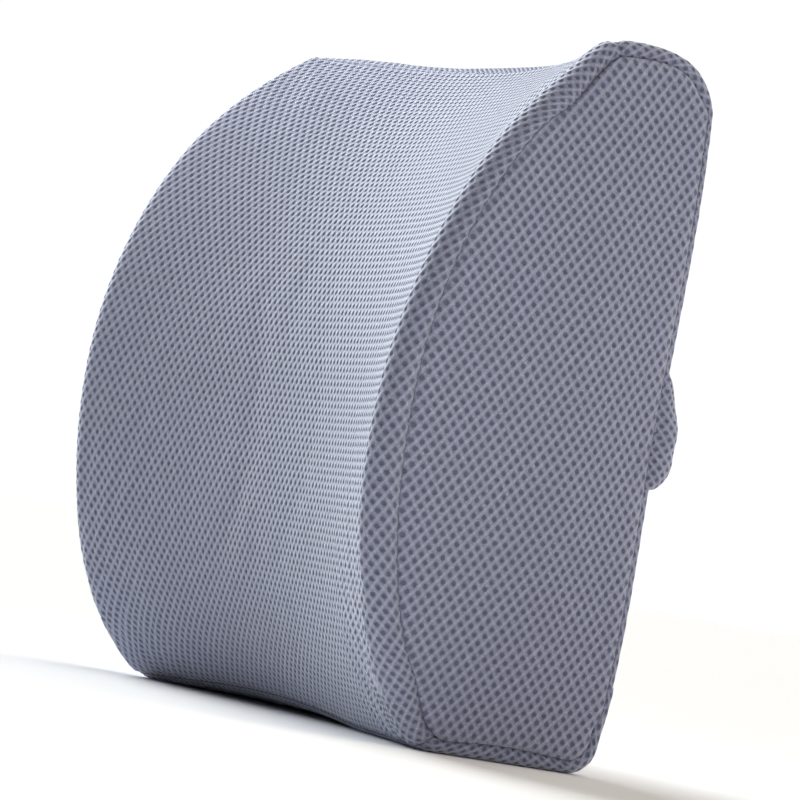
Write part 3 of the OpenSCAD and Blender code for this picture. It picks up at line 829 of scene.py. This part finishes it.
# hole: the inner layer's colour darkened by painted shade; glint: the painted highlight on the
# yarns
MESH = mesh_fabric("spacer_mesh", yarn=srgb(144, 149, 176), hole=srgb(108, 113, 141),
                   glint=srgb(193, 199, 222), sheen=0.6)
THREAD = yarn_material("sewing_thread", srgb(138, 142, 169), srgb(108, 112, 138))
DARK_THREAD = yarn_material("strap_thread", srgb(58, 58, 64), srgb(34, 34, 40))
FOAM = foam_material()
LINER = liner_material()
TAPE = woven_band("zip_tape", srgb(74, 76, 92), srgb(46, 47, 60), 0.9)
COIL = moulded_plastic("coil_nylon", srgb(60, 61, 72))
METAL = zip_metal("zip_metal", srgb(108, 108, 116))
WEBBING = woven_band("webbing", srgb(52, 52, 58), srgb(24, 24, 28), 1.5)
PLASTIC = moulded_plastic("buckle_plastic", srgb(38, 38, 42))


def finish_piece(obj, material, body=None, replaced=None):
    """Gives a piece its material and its slot, the body that it rides on, unless that is
    left to the caller, and hides the CAD node that it stands for, if any."""
    obj.data.materials.clear()
    obj.data.materials.append(material)
    if replaced:
        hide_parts(replaced)
    if body:
        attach(obj, body)
    return obj


# ---------------------------------------------------------------- cover panels

# size of the gathers beside a seam, and how far from it they're worked out
PUCKER, PUCKER_REACH = 0.14, 20.0
# size of the folds beside the lower ridges, and where they fan out from: how far inside the
# side and below the floor
FOLD, FOLD_IN, FOLD_UNDER = 0.3, 8.0, 22.0
# size and pitch of the wrinkles beside an ear
EAR_WRINKLE, EAR_WRINKLE_PITCH = 0.7, 0.8


def pucker(along, across):
    """Small uneven gathers beside a seam. along runs with the seam."""
    wave = np.sin(along / 1.9) + 0.6 * np.sin(along / 2.9 + 1.3) + 0.4 * np.sin(along / 1.2)
    return PUCKER * wave * np.exp(-across / 4.5) * (1 - np.exp(-across / 1.2))


def groove(distance):
    """How deep a seam draws the cloth in at a distance from it."""
    return GROOVE_DEPTH * bell(distance, 0, GROOVE_W)


def stretch_lines(points):
    """Slack cloth beside the lower ridges: low folds that fan out from the base corners."""
    x, z = np.abs(points[..., 0]), points[..., 2]
    from_side, from_foot = BODY_W / 2 - FOLD_IN - x, z + FOLD_UNDER
    angle = np.arctan2(from_side, from_foot)
    reach = np.hypot(from_side, from_foot)
    strip = smooth((x - 78) / 45) * smooth((160 - z) / 90) * smooth((angle + 0.05) / 0.15)
    folds = np.sin(angle * 62 + 0.8 * np.sin(reach / 31)) + 0.5 * np.sin(angle * 37 + 1.0)
    return FOLD * strip * folds * smooth(reach / 55)


def body_panel(name, profile, hems=()):
    """One panel of the cover that spans the body. profile is its line from seam to seam;
    hems says which of its two ends are free hems beside the zip."""
    rows = STEPS * round(length(profile) / CELL_V) + 1
    cols = STEPS * round(2 * (BODY_W / 2 + SEAM_EDGE + 3) / CELL_U) + 1
    p = resample(profile, rows - 1)
    q = np.ones((rows, 1)) * np.linspace(-1, 1, cols)[None, :]
    s, to_side = stations(p, q, SEAM_HALF)
    outer = zip_closed(body_points(p, s, 0))
    inner = zip_closed(body_points(p, s, CLOTH_T))
    normals = grid_normals(outer, np.array([0, 0, MID_Z]))
    along = np.linspace(0, length(profile), rows)[:, None]
    across = outer[..., 0]
    near = to_side
    drop = groove(to_side) - pucker(along, to_side)
    open_hem = 0.2 + 0.9 * smooth((151 - np.abs(across)) / 4)
    for k, distance in enumerate((along, along[::-1])):
        if k in hems:
            drop = drop + open_hem * bell(distance, 0, 1.4)
        else:
            drop = drop + groove(distance) - pucker(across, distance)
        near = np.minimum(near, distance)
    drop = np.minimum(drop, DROP_CAP)
    drop = drop + knit(np.arange(rows)[:, None], np.arange(cols)[None, :], near)
    if name == "front_panel":
        drop = drop - stretch_lines(outer) * smooth(to_side / 8)
    outer = swelled(outer) - normals * drop[..., None]
    outer[..., 2] = np.maximum(outer[..., 2], FLOOR_GAP)
    obj = closed_sheet(name, outer, inner)
    return finish_piece(obj, MESH, "cushion", name)


def zip_closed(points):
    """Brings the two lips of the zip opening together beyond the ends of the zip."""
    out = points.copy()
    z, x = points[..., 2], np.abs(points[..., 0])
    past = smooth((x - 149) / 8)
    back = points[..., 1] > BACK_Y - SEAM_EDGE - 4
    lift = (ZIP_Z - LIP_GAP - SLOT_LO) * smooth((z - BACK_R) / (SLOT_LO - BACK_R))
    sink = (SLOT_HI - ZIP_Z - LIP_GAP) * (1 - smooth((z - SLOT_HI) / 30))
    out[..., 2] += np.where(back, past * np.where(z < ZIP_Z, lift, -sink), 0)
    out[..., 0] += np.sign(points[..., 0]) * (half_w(out[..., 2]) - half_w(z))
    return out


def inside(points, loop):
    """Which points lie inside a closed line."""
    x, y = points[:, 0][:, None], points[:, 1][:, None]
    ax, ay = loop[:, 0][None, :], loop[:, 1][None, :]
    bx, by = np.roll(ax, -1, 1), np.roll(ay, -1, 1)
    crosses = (ay > y) != (by > y)
    with np.errstate(divide="ignore", invalid="ignore"):
        at = (bx - ax) * (y - ay) / (by - ay) + ax
    return (crosses & (x < at)).sum(1) % 2 == 1


def distance_to(points, loop):
    """Distance from each point to a closed line."""
    best = np.full(len(points), 1e9)
    for a, b in zip(loop, np.roll(loop, -1, 0)):
        way = b - a
        share = np.clip((points - a) @ way / max(way @ way, 1e-9), 0, 1)
        off = points - a - share[:, None] * way
        best = np.minimum(best, np.hypot(off[:, 0], off[:, 1]))
    return best


def whole_cells(loop, du, dv, margin):
    """The grid inside a closed line, a margin away from it: the columns and rows of its
    points, which of its cells are whole, and which points they use."""
    lo, hi = loop.min(0), loop.max(0)
    gu, gv = np.meshgrid(np.arange(math.floor(lo[0] / du), math.ceil(hi[0] / du) + 1),
                         np.arange(math.floor(lo[1] / dv), math.ceil(hi[1] / dv) + 1))
    flat = np.column_stack((gu.ravel() * du, gv.ravel() * dv))
    good = inside(flat, loop)
    good[good] = distance_to(flat[good], loop) > margin
    good = good.reshape(gu.shape)
    cells = good[:-1, :-1] & good[1:, :-1] & good[:-1, 1:] & good[1:, 1:]
    used = np.zeros(gu.shape, bool)
    for r, c in ((0, 0), (0, 1), (1, 0), (1, 1)):
        used[r:r + cells.shape[0], c:c + cells.shape[1]] |= cells
    return gu, gv, cells, used


def rim_faces(points, n, rim, in_cell):
    """Triangles between a closed line, the first n points, and the rim of the grid. in_cell
    says whether a place is inside a cell of the grid."""
    chosen = list(range(n)) + sorted({k for key in rim for k in key})
    place = {k: i for i, k in enumerate(chosen)}
    ties = [(i, (i + 1) % n) for i in range(n)] + [(place[a], place[b]) for a, b in rim]
    made = delaunay_2d_cdt([Vector(points[k]) for k in chosen], ties, [], 1, 1e-6)
    back = [chosen[origin[0]] for origin in made[3]]
    return [tuple(back[k] for k in face) for face in made[2]
            if not in_cell(np.mean([made[0][k] for k in face], axis=0))]


def filled_loop(loop, du, dv, margin):
    """A flat patch inside a closed line: a regular grid of quads as far as it fits, and
    triangles between the grid and the line. Returns its points, faces, grid rows and
    columns of each point (-1 on the line), with the line's points first."""
    gu, gv, cells, used = whole_cells(loop, du, dv, margin)
    n = len(loop)
    number = np.full(gu.shape, -1)
    number[used] = n + np.arange(used.sum())
    points = np.vstack((loop, np.column_stack((gu[used] * du, gv[used] * dv))))
    grid = np.vstack((np.full((n, 2), -1), np.column_stack((gv[used], gu[used]))))
    faces, uses = [], {}
    for r, c in zip(*np.nonzero(cells)):
        ring = [int(number[r + i, c + j]) for i, j in ((0, 0), (0, 1), (1, 1), (1, 0))]
        if (gv[r, c] - gu[r, c]) % STEPS == 0:
            ring = ring[1:] + ring[:1]
        faces.append(tuple(ring))
        for key in zip(ring, ring[1:] + ring[:1]):
            key = tuple(sorted(key))
            uses[key] = uses.get(key, 0) + 1

    def in_cell(spot):
        r, c = math.floor(spot[1] / dv) - gv[0, 0], math.floor(spot[0] / du) - gu[0, 0]
        return 0 <= r < cells.shape[0] and 0 <= c < cells.shape[1] and cells[r, c]

    faces += rim_faces(points, n, [key for key, count in uses.items() if count == 1], in_cell)
    return points, faces, grid


# pitch of the points along a side panel's border and over its hidden inner face, and how
# near to the border the latter come
LOOP_STEP, LINING_STEP, LINING_MARGIN = 1.6, 9, 5


def side_panel(side, name):
    """The flat panel inside the side seam."""
    count = STEPS * round(length(whole_profile()) / LOOP_STEP / STEPS)
    p = resample(whole_profile(), count)[:-1]
    loop = side_points(p, np.full(len(p), SEAM_HALF), 0)
    flat, faces, grid = filled_loop(loop, CELL_U / STEPS, CELL_V / STEPS, KNIT_EDGE)
    coarse, low_faces, _ = filled_loop(loop[::STEPS], LINING_STEP, LINING_STEP, LINING_MARGIN)
    edge = distance_to(flat, loop)
    seam_at = np.concatenate(([0], np.cumsum(np.linalg.norm(np.diff(loop, axis=0), axis=1))))
    nearest = np.array([seam_at[int(np.argmin(np.hypot(*(loop - f).T)))]
                        if d < PUCKER_REACH else 0 for f, d in zip(flat, edge)])
    drop = np.minimum(groove(edge) - pucker(nearest + 40, edge), DROP_CAP)
    near_ear = bell(flat[:, 1], STRAP_Z - 6, 26) * np.exp(-flat[:, 0] / 10)
    wrinkles = np.sin(flat[:, 0] / EAR_WRINKLE_PITCH + flat[:, 1] / 14) * smooth(edge / 3)
    drop = drop - EAR_WRINKLE * near_ear * wrinkles
    drop = drop + knit(grid[:, 0], grid[:, 1], edge)
    top = settled(np.column_stack((side * half_w(flat[:, 1]), BACK_Y - flat[:, 0],
                                   flat[:, 1])))
    top = swelled(top) - np.outer(drop, (side, 0, 0))
    low = settled(np.column_stack((side * (half_w(coarse[:, 1]) - CLOTH_T),
                                   BACK_Y - coarse[:, 0], coarse[:, 1])))
    first = len(top)
    n = len(loop)
    faces = faces + [tuple(first + k for k in face) for face in low_faces]
    for j in range(n // STEPS):
        rim = [(j * STEPS + k) % n for k in range(STEPS + 1)]
        faces.append(tuple(rim + [first + (j + 1) % (n // STEPS), first + j]))
    uv = np.vstack((flat, coarse)) * (-1 / CELL_U, 1 / CELL_V)
    obj = new_object(name, np.vstack((top, low)), faces, uv, sharp=75)
    return finish_piece(obj, MESH, "cushion", name)


def cover():
    body_panel("front_panel", front_profile(SEAM_HALF))
    body_panel("back_panel_upper", upper_profile(SEAM_HALF, SLOT_HI), hems=(1,))
    body_panel("back_panel_lower", lower_profile(SEAM_HALF, SLOT_LO), hems=(0,))
    side_panel(-1, "side_panel_left")
    side_panel(1, "side_panel_right")


# ---------------------------------------------------------------- seams

# radius, length and gap of the stitches in the cover's seams, the zip's hems and the strap
SEAM_STITCH = (0.3, 3.0, 0.8, THREAD)
HEM_STITCH = (0.34, 2.6, 0.8, THREAD)
STRAP_STITCH = (0.32, 2.1, 0.7, DARK_THREAD)
# a stitch is a rod whose ends taper: rings of points at shares of its length, and their size
STITCH_SIDES = 6
STITCH_RINGS = ((0, 0.45), (0.12, 0.85), (0.35, 1), (0.65, 1), (0.88, 0.85), (1, 0.45))
# how far the middle of a stitch lies above the bottom of its seam
STITCH_OUT = 0.12


def stitches(name, paths, kind, body, replaced=None):
    """Rows of stitches along lines of points."""
    r, stitch, gap, material = kind
    verts, faces = [], []
    for path in paths:
        gaps = np.linalg.norm(np.diff(path, axis=0), axis=1)
        along = np.concatenate(([0], np.cumsum(gaps)))
        for start in np.arange(gap / 2, along[-1] - stitch, stitch + gap):
            at = start + np.array([share for share, _ in STITCH_RINGS]) * stitch
            spots = np.column_stack([np.interp(at, along, path[:, k]) for k in range(3)])
            way = spots[-1] - spots[0]
            way /= np.linalg.norm(way)
            flat = np.cross(way, (0.3, 0.5, 0.81))
            flat /= np.linalg.norm(flat)
            up = np.cross(way, flat)
            faces += tube_faces(len(verts), len(spots), STITCH_SIDES)
            for spot, (_, size) in zip(spots, STITCH_RINGS):
                for k in range(STITCH_SIDES):
                    a = 2 * math.pi * k / STITCH_SIDES
                    verts.append(spot + r * size * (math.cos(a) * flat + math.sin(a) * up))
    obj = new_object(name, np.array(verts), faces, sharp=60)
    finish_piece(obj, material, body, replaced)


def side_seam(side, name):
    p = resample(whole_profile(), 500)
    flat = side_points(p, np.zeros(len(p)), 0)
    path = settled(np.column_stack((side * (half_w(p[:, 1]) - GROOVE_DEPTH + STITCH_OUT),
                                    BACK_Y - flat[:, 0], flat[:, 1])))
    stitches(name, [path], SEAM_STITCH, "cushion", name)


def cross_seam(name, centre, r, angle):
    """Stitches in the seam along the front top or front base edge."""
    p = np.array([on_arc(centre, r, angle)] * 2)
    s = np.ones((2, 1)) * np.linspace(-2.6, 2.6, 320)[None, :]
    path = body_points(p, s, GROOVE_DEPTH - STITCH_OUT)[0]
    stitches(name, [path], SEAM_STITCH, "cushion", name)


def seams():
    side_seam(-1, "side_seam_left")
    side_seam(1, "side_seam_right")
    cross_seam("top_seam", TOP_FRONT, TOP_R, 90)
    cross_seam("base_seam", BASE_FRONT, BASE_R, BASE_SEAM_ANGLE)


# ---------------------------------------------------------------- foam and liner

# how deep the liner and the foam lie, and the liner's thickness
LINER_D, LINER_T, FOAM_D = 3.5, 0.6, 4.8
# points of their skins round the body, across it, and rings on each side
INNER_GRID = (150, 52, 9)
# half the height of the liner's opening
MOUTH_HALF = 10.0


def foam():
    verts, faces, _ = closed_skin(FOAM_D, *INNER_GRID)
    obj = new_object("foam_core", verts, faces, sharp=60)
    finish_piece(obj, FOAM, "cushion", "foam_core")


def liner():
    """A bag of thin cloth round the foam, open behind the zip."""
    mouth_x = box_mm("zip_teeth_upper")[1][0]
    verts, faces, _ = closed_skin(LINER_D, *INNER_GRID)
    cloth = []
    for face in faces:
        x, y, z = verts[list(face)].mean(0)
        if abs(x) > mouth_x or y < BACK_Y - LINER_D - 1 or abs(z - ZIP_Z) > MOUTH_HALF:
            cloth.append(face)
    obj = new_object("inner_liner", verts, cloth, sharp=60)
    thick = obj.modifiers.new("thickness", "SOLIDIFY")
    thick.thickness = LINER_T * MM
    thick.offset = -1
    finish_piece(obj, LINER, "cushion", "inner_liner")


# ---------------------------------------------------------------- zip

# half length of the tapes, where their beaded edge lies across them and how high it stands,
# and the pitch of their weave
TAPE_HALF = 150.5
BEAD_AT, BEAD_H = 0.12, 0.25
TAPE_RIB = 1.8
# a loop of the coil: pitch, half width, its tip and root beside the middle of the zip, and
# its outline as share of the way to the tip, width and thickness
COIL_PITCH, LOOP_HALF = 1.9, 0.62
LOOP_TIP, LOOP_ROOT = 0.72, 3.0
LOOP_SIDES = 8
LOOP_RINGS = ((0, 0.7, 0.7), (0.12, 0.95, 0.95), (0.5, 0.8, 1.0), (0.82, 1.0, 1.05),
              (0.95, 0.85, 0.85), (1, 0.45, 0.5))
# hem stitching: half its length, and how far from the edge of the opening
HEM_HALF, HEM_IN = 147, 3


def zip_tape(name, way):
    """Woven tape from the teeth to the hem, with its beaded edge beside the teeth."""
    lo, hi = box_mm(name)
    xs = np.linspace(-TAPE_HALF, TAPE_HALF, 302)
    near, far = (lo[2], hi[2]) if way > 0 else (hi[2], lo[2])
    across = np.linspace(0, 1, 13)[:, None]
    z = mix(near, far, across) * np.ones_like(xs)
    x = np.ones_like(z) * xs
    bead = BEAD_H * bell(across, BEAD_AT, 0.1)
    wave = 0.12 * np.sin(xs / 7.0) * across + 0.05 * np.sin(xs * 2 * math.pi / TAPE_RIB)
    top = np.stack((x, hi[1] + bead + wave, z), -1)
    low = np.stack((x, lo[1] + 0 * z, z), -1)
    obj = grid_sheet(name, top, low, np.stack((x, z), -1))
    finish_piece(obj, TAPE, "cushion", name)


def zip_teeth(name, way):
    """One side of a nylon coil: a row of loops that taper towards the middle of the zip."""
    lo, hi = box_mm(name)
    middle, half_t = (lo[1] + hi[1]) / 2, (hi[1] - lo[1]) / 2
    shift = 0 if way > 0 else COIL_PITCH / 2
    verts, faces = [], []
    for x in np.arange(lo[0] + 1 + shift, hi[0] - 0.8, COIL_PITCH):
        faces += tube_faces(len(verts), len(LOOP_RINGS), LOOP_SIDES)
        for share, wide, thick in LOOP_RINGS:
            z = ZIP_Z + way * mix(LOOP_ROOT, LOOP_TIP, share)
            for k in range(LOOP_SIDES):
                a = 2 * math.pi * (k + 0.5) / LOOP_SIDES
                verts.append((x + LOOP_HALF * wide * math.cos(a),
                              middle + half_t * thick * 0.9 * math.sin(a), z))
    obj = new_object(name, np.array(verts), faces, sharp=70)
    finish_piece(obj, COIL, "cushion", name)


def zip_stitches(name, z):
    """A line of stitching that holds the hem to the tape."""
    xs = np.linspace(-HEM_HALF, HEM_HALF, 300)
    path = np.column_stack((xs, np.full_like(xs, BACK_Y + 0.35), np.full_like(xs, z)))
    stitches(name, [path], HEM_STITCH, "cushion")


def zip_fastener():
    for word, way in (("upper", 1), ("lower", -1)):
        zip_tape(f"zip_tape_{word}", way)
        zip_teeth(f"zip_teeth_{word}", way)
    zip_stitches("zip_stitching_upper", SLOT_HI + HEM_IN)
    zip_stitches("zip_stitching_lower", SLOT_LO - HEM_IN)


# ---------------------------------------------------------------- ears and strap

# fabric ears: thickness, half height at the root and at the tip, and how far behind the
# back they lie on the webbing
EAR_T = 2.0
EAR_HALF, EAR_TIP_HALF = 25.6, 15.0
EAR_FLAT_Y = 5.1
# places on their middle line, as distance from the cushion's middle and depth behind the back
EAR_ROOT = np.array([168.9, -2.9])
EAR_CREST = np.array([158.0, 9.4])
EAR_ON_BACK = np.array([163, 0.5])
EAR_LANDING = np.array([136.0, EAR_FLAT_Y])
# places along the ear, as distance from the cushion's middle: the first is not used, and from the
# second the ear narrows towards its tip
EAR_STILL_X, EAR_FREE_X = 167, 152
# cells of the knit across an ear and along it, and the size of its folds and of its hem
EAR_CELLS = (10, 12)
EAR_FOLD, EAR_HEM = 0.5, 0.7
# how thin its sewn-in and pressed parts are
EAR_PRESSED = 0.35


def ear_lines(tip_x, count):
    """Two middle lines of the ear seen from above, as (x, depth behind the back): one that
    hugs the back, for its top and base edges, and the slack loop between them. Both leave
    the side seam and end flat on the webbing."""
    root, crest, back, landing = EAR_ROOT, EAR_CREST, EAR_ON_BACK, EAR_LANDING
    tip = line(landing, [tip_x, EAR_FLAT_Y])
    loop = np.vstack((bezier(root, root + (2.4, 7), crest + (12, 3), crest),
                      bezier(crest, crest - (9, 2), landing + (9, 0), landing), tip))
    hug = np.vstack((bezier(root, root + (1.3, 2.4), back + (4.4, 0), back),
                     bezier(back - (9, 0), back - (16, 0), landing + (8, 0), landing), tip))
    return resample(hug, count), resample(loop, count)


def ear(side, name):
    """Fabric ear: it leaves the side seam at the back corner, stands out in a slack hump
    that dies out towards its top and base, and ends flat on the webbing."""
    lo, hi = box_mm(name)
    tip_x = min(abs(lo[0]), abs(hi[0]))
    rows, cols = (STEPS * cells + 1 for cells in EAR_CELLS)
    hug, loop = ear_lines(tip_x, cols - 1)
    t = np.linspace(0, 1, rows)[:, None]
    slack = np.sin(math.pi * (1 - t) ** 0.7) ** 0.6
    x = mix(hug[:, 0], loop[:, 0], slack)
    y = mix(hug[:, 1], loop[:, 1], slack)
    half = mix(EAR_HALF, EAR_TIP_HALF, smooth((EAR_FREE_X - x) / 26))
    z = STRAP_Z + mix(half, -half, t)
    folds = EAR_FOLD * np.sin(z / 3.1 + x / 5) * slack * smooth((x - 140) / 8)
    mid = settled(np.stack((x, BACK_Y + y + folds, z), -1))
    normals = grid_normals(mid, np.array([150, BACK_Y - 60, STRAP_Z]))
    at = np.linspace(0, 1, cols)
    to_tip = (1 - at) * length(loop)
    edge = np.minimum(np.minimum(t, 1 - t) * 2 * half, to_tip)
    hem = EAR_HEM * bell(edge, 0, 1.3)
    drop = knit(np.arange(rows)[:, None], np.arange(cols)[None, :], edge) + hem
    # the sewn-in root and the pressed edges that lie on the back are thin
    pressed = smooth(np.maximum(slack * 2.5, (EAR_FREE_X - x) / 8)) * smooth(at / 0.1)
    thick = EAR_T / 2 * mix(EAR_PRESSED, 1, pressed)
    outer = mid + normals * (thick - np.minimum(drop, thick * 0.8))[..., None]
    inner = mid - normals * (thick * 0.5)[..., None]
    flip = np.array([side, 1, 1])
    obj = closed_sheet(name, outer * flip, inner * flip, -1)
    finish_piece(obj, MESH, None, name)
    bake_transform(obj)


# webbing: its thickness, the pitch of its ribs, how many bars run along it, and the length
# that is folded back and sewn down
WEB_T = 1.6
RIB_PITCH, BARS = 1.45, 11
RIB_H, BAR_H = 0.09, 0.05
FLAP = 26
# where the stitching through each ear lies
EAR_SEWN = (128.5, 136.5)


def strap_path(loop_x, start_x, web_y, loop_r):
    """Middle line of the webbing, seen from above: out to the bar, round it, and back."""
    side = 1 if loop_x < start_x else -1
    turn = np.radians(np.linspace(-90, 90, 40))
    loop_y = web_y + loop_r
    bend = np.column_stack((loop_x - side * loop_r * np.cos(turn), loop_y + loop_r * np.sin(turn)))
    return np.vstack(([[start_x, web_y]], bend, [[loop_x + side * FLAP, loop_y + loop_r]]))


def webbing(name, path, width):
    """A strip of webbing along a line in the X-Y plane, with crosswise ribs, fine bars
    along its length and thin selvedges."""
    total = length(path)
    p = resample(path, int(total / 0.36))
    way = np.gradient(p, axis=0)
    way /= np.linalg.norm(way, axis=1)[:, None]
    out = np.column_stack((way[:, 1], -way[:, 0]))
    across = np.linspace(-1, 1, 25)
    along = np.linspace(0, total, len(p))
    plump = (1 - np.abs(across) ** 6 * 0.55)[:, None]
    ribs = RIB_H * np.sin(2 * math.pi * along / RIB_PITCH)[None, :]
    bars = BAR_H * np.cos(across * math.pi * BARS)[:, None]
    half = WEB_T / 2 * plump - 0.08 + (ribs + bars) * plump
    z = (STRAP_Z + across * width / 2)[:, None] * np.ones((1, len(p)))
    sheets = []
    for sign in (1, -1):
        x = p[:, 0][None, :] + sign * half * out[:, 0][None, :]
        y = BACK_Y + p[:, 1][None, :] + sign * half * out[:, 1][None, :]
        sheets.append(np.stack((x, y, z), -1))
    uv = np.stack((along[None, :] * np.ones_like(z), z), -1)
    obj = grid_sheet(name, sheets[0], sheets[1], uv, sharp=60)
    return finish_piece(obj, WEBBING, None, name)


def box_of_stitches(name, x0, x1, half_h, y, body):
    """Box-and-cross stitching through the layers of the strap."""
    corners = [(x0, -half_h), (x1, -half_h), (x1, half_h), (x0, half_h)]
    pairs = list(zip(corners, corners[1:] + corners[:1]))
    pairs += [(corners[0], corners[2]), (corners[1], corners[3])]
    paths = []
    for a, b in pairs:
        flat = mix(np.array(a), np.array(b), np.linspace(0, 1, 40)[:, None])
        paths.append(np.column_stack((flat[:, 0], np.full(40, y), STRAP_Z + flat[:, 1])))
    stitches(name, paths, STRAP_STITCH, body)


def strap():
    left_lo, left_hi = box_mm("strap_webbing_left")
    right_lo, right_hi = box_mm("strap_webbing_right")
    width = left_hi[2] - left_lo[2]
    loop_r = (left_hi[1] - left_lo[1] - WEB_T) / 2
    web_y = left_lo[1] + WEB_T / 2 - BACK_Y
    left_loop = left_hi[0] - loop_r - WEB_T / 2
    right_loop = right_lo[0] + loop_r + WEB_T / 2
    left = webbing("strap_webbing_left", strap_path(left_loop, left_lo[0], web_y, loop_r), width)
    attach(left, "left_strap")
    right = webbing("strap_webbing_right", strap_path(right_loop, right_hi[0], web_y, loop_r),
                    width)
    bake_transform(right)
    y_top = BACK_Y + web_y + 2 * loop_r + WEB_T / 2
    box_of_stitches("strap_stitching_left", left_loop - FLAP + 3, left_loop - 8, width / 2 - 4,
                    y_top, "left_strap")
    box_of_stitches("strap_stitching_right", right_loop + 8, right_loop + FLAP - 3,
                    width / 2 - 4, y_top, "plug")
    ear(-1, "strap_ear_left")
    ear(1, "strap_ear_right")
    for side, word in ((-1, "left"), (1, "right")):
        x0, x1 = sorted(side * x for x in EAR_SEWN)
        box_of_stitches(f"ear_stitching_{word}", x0, x1, 10,
                        BACK_Y + EAR_FLAT_Y + EAR_T / 2 + 0.2, f"{word}_strap")


# ---------------------------------------------------------------- moulded and cast parts

# radii of the edges of the buckle, of the adjuster and of the zip's cast parts
BUCKLE_ROUND, ADJUSTER_ROUND, METAL_ROUND = 0.55, 0.35, 0.22
# an edge is rounded where its faces turn by more than this, in degrees
ROUND_ANGLE = 40


def dress_node(name, material, round_mm):
    """Gives a CAD node its finish, with its edges slightly rounded."""
    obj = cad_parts[name]
    obj.data.materials.clear()
    obj.data.materials.append(material)
    weld = obj.modifiers.new("join", "WELD")
    weld.merge_threshold = 1e-5
    bevel = obj.modifiers.new("round", "BEVEL")
    bevel.width = round_mm * MM
    bevel.segments = 3
    bevel.limit_method = "ANGLE"
    bevel.angle_limit = math.radians(ROUND_ANGLE)
    bevel.use_clamp_overlap = True
    obj.modifiers.new("shading", "WEIGHTED_NORMAL")


def hard_parts():
    for name in ("buckle_socket", "buckle_plug", "buckle_arm_upper", "buckle_arm_lower"):
        dress_node(name, PLASTIC, BUCKLE_ROUND)
    dress_node("strap_adjuster", PLASTIC, ADJUSTER_ROUND)
    for name in ("zip_slider", "zip_pull", "zip_stop_left", "zip_stop_right"):
        dress_node(name, METAL, METAL_ROUND)


# ---------------------------------------------------------------- floor, light and camera

# side of the floor in metres, and its paint
FLOOR_SIDE = 60
FLOOR_PAINT = (0.99, 0.97, 0.93, 1)


def floor():
    bpy.ops.mesh.primitive_plane_add(size=FLOOR_SIDE, location=(0, 0, 0))
    obj = bpy.context.object
    obj.name = "floor"
    material, _, shader = new_material("floor", 0.9)
    shader.inputs["Base Color"].default_value = FLOOR_PAINT
    shader.inputs["Specular IOR Level"].default_value = 0.1
    obj.data.materials.append(material)


def sky(fill, seen):
    """Even white surroundings: fill is how bright they light, seen how bright they look."""
    world = bpy.data.worlds.new("studio")
    world.use_nodes = True
    tree = world.node_tree
    background = tree.nodes["Background"]
    background.inputs["Color"].default_value = (0.97, 0.98, 1, 1)
    camera_ray = add(tree, "ShaderNodeLightPath").outputs["Is Camera Ray"]
    strength = add(tree, "ShaderNodeMapRange", {
        "Value": camera_ray, "To Min": fill, "To Max": seen}).outputs[0]
    tree.links.new(strength, background.inputs["Strength"])
    bpy.context.scene.world = world


def object_middle():
    lo, hi = (Vector(corner) for corner in cad_box)
    return (lo + hi) / 2


def lamp(name, kind, toward, power):
    """A lamp whose light comes from the direction toward."""
    data = bpy.data.lights.new(name, kind)
    data.energy = power
    obj = bpy.data.objects.new(name, data)
    obj.rotation_euler = Vector(toward).normalized().to_track_quat("Z", "Y").to_euler()
    bpy.context.scene.collection.objects.link(obj)
    return obj


def sun(name, toward, strength, spread, colour):
    """A far lamp, as wide in the sky as spread, in degrees."""
    data = lamp(name, "SUN", toward, strength).data
    data.angle = math.radians(spread)
    data.color = colour


def overhead(name, toward, distance, size, power):
    """A round soft lamp near the object, which lights its top more than its foot."""
    obj = lamp(name, "AREA", toward, power)
    obj.data.shape = "DISK"
    obj.data.size = size
    obj.location = object_middle() + Vector(toward).normalized() * distance


# the camera: degrees round from the front, above the level and about its own line, its
# distance in metres, its focal length, and how far beside and above the middle of the
# object's box it aims, in metres
CAMERA_AZIMUTH, CAMERA_ELEVATION, CAMERA_ROLL = 63.93, -2.07, 10.15
CAMERA_DISTANCE, CAMERA_LENS = 1.9667, 192.2
CAMERA_AIM = (0.0119, -0.0095, 0)


def camera():
    """A long lens that looks at the near wing from the side, a little below its middle."""
    az, el = math.radians(CAMERA_AZIMUTH), math.radians(CAMERA_ELEVATION)
    to_camera = Vector((math.sin(az) * math.cos(el), -math.cos(az) * math.cos(el), math.sin(el)))
    turn = to_camera.to_track_quat("Z", "Y").to_matrix() @ Matrix.Rotation(
        math.radians(CAMERA_ROLL), 3, "Z")
    aim = object_middle() + turn @ Vector(CAMERA_AIM)
    data = bpy.data.cameras.new("camera")
    data.lens = CAMERA_LENS
    data.clip_end = 100
    obj = bpy.data.objects.new("camera", data)
    obj.matrix_world = Matrix.Translation(aim + to_camera * CAMERA_DISTANCE) @ turn.to_4x4()
    bpy.context.scene.collection.objects.link(obj)
    bpy.context.scene.camera = obj



cover()
seams()
foam()
liner()
zip_fastener()
strap()
hard_parts()
floor()
sky(fill=0.03, seen=1.05)
sun("key", (-0.92, -0.16, 0.42), strength=4.05, spread=34, colour=(0.9, 0.97, 1.04))
sun("back", (0.1, 0.6, 0.8), strength=1.5, spread=80, colour=(1.05, 0.98, 0.91))
sun("fill", (0.65, 0.4, 0.6), strength=0.5, spread=110, colour=(1, 0.97, 0.97))
overhead("overhead", (-0.3, -0.2, 0.95), distance=0.5, size=0.3, power=0.8)
camera()
bpy.context.scene.view_settings.view_transform = "Standard"
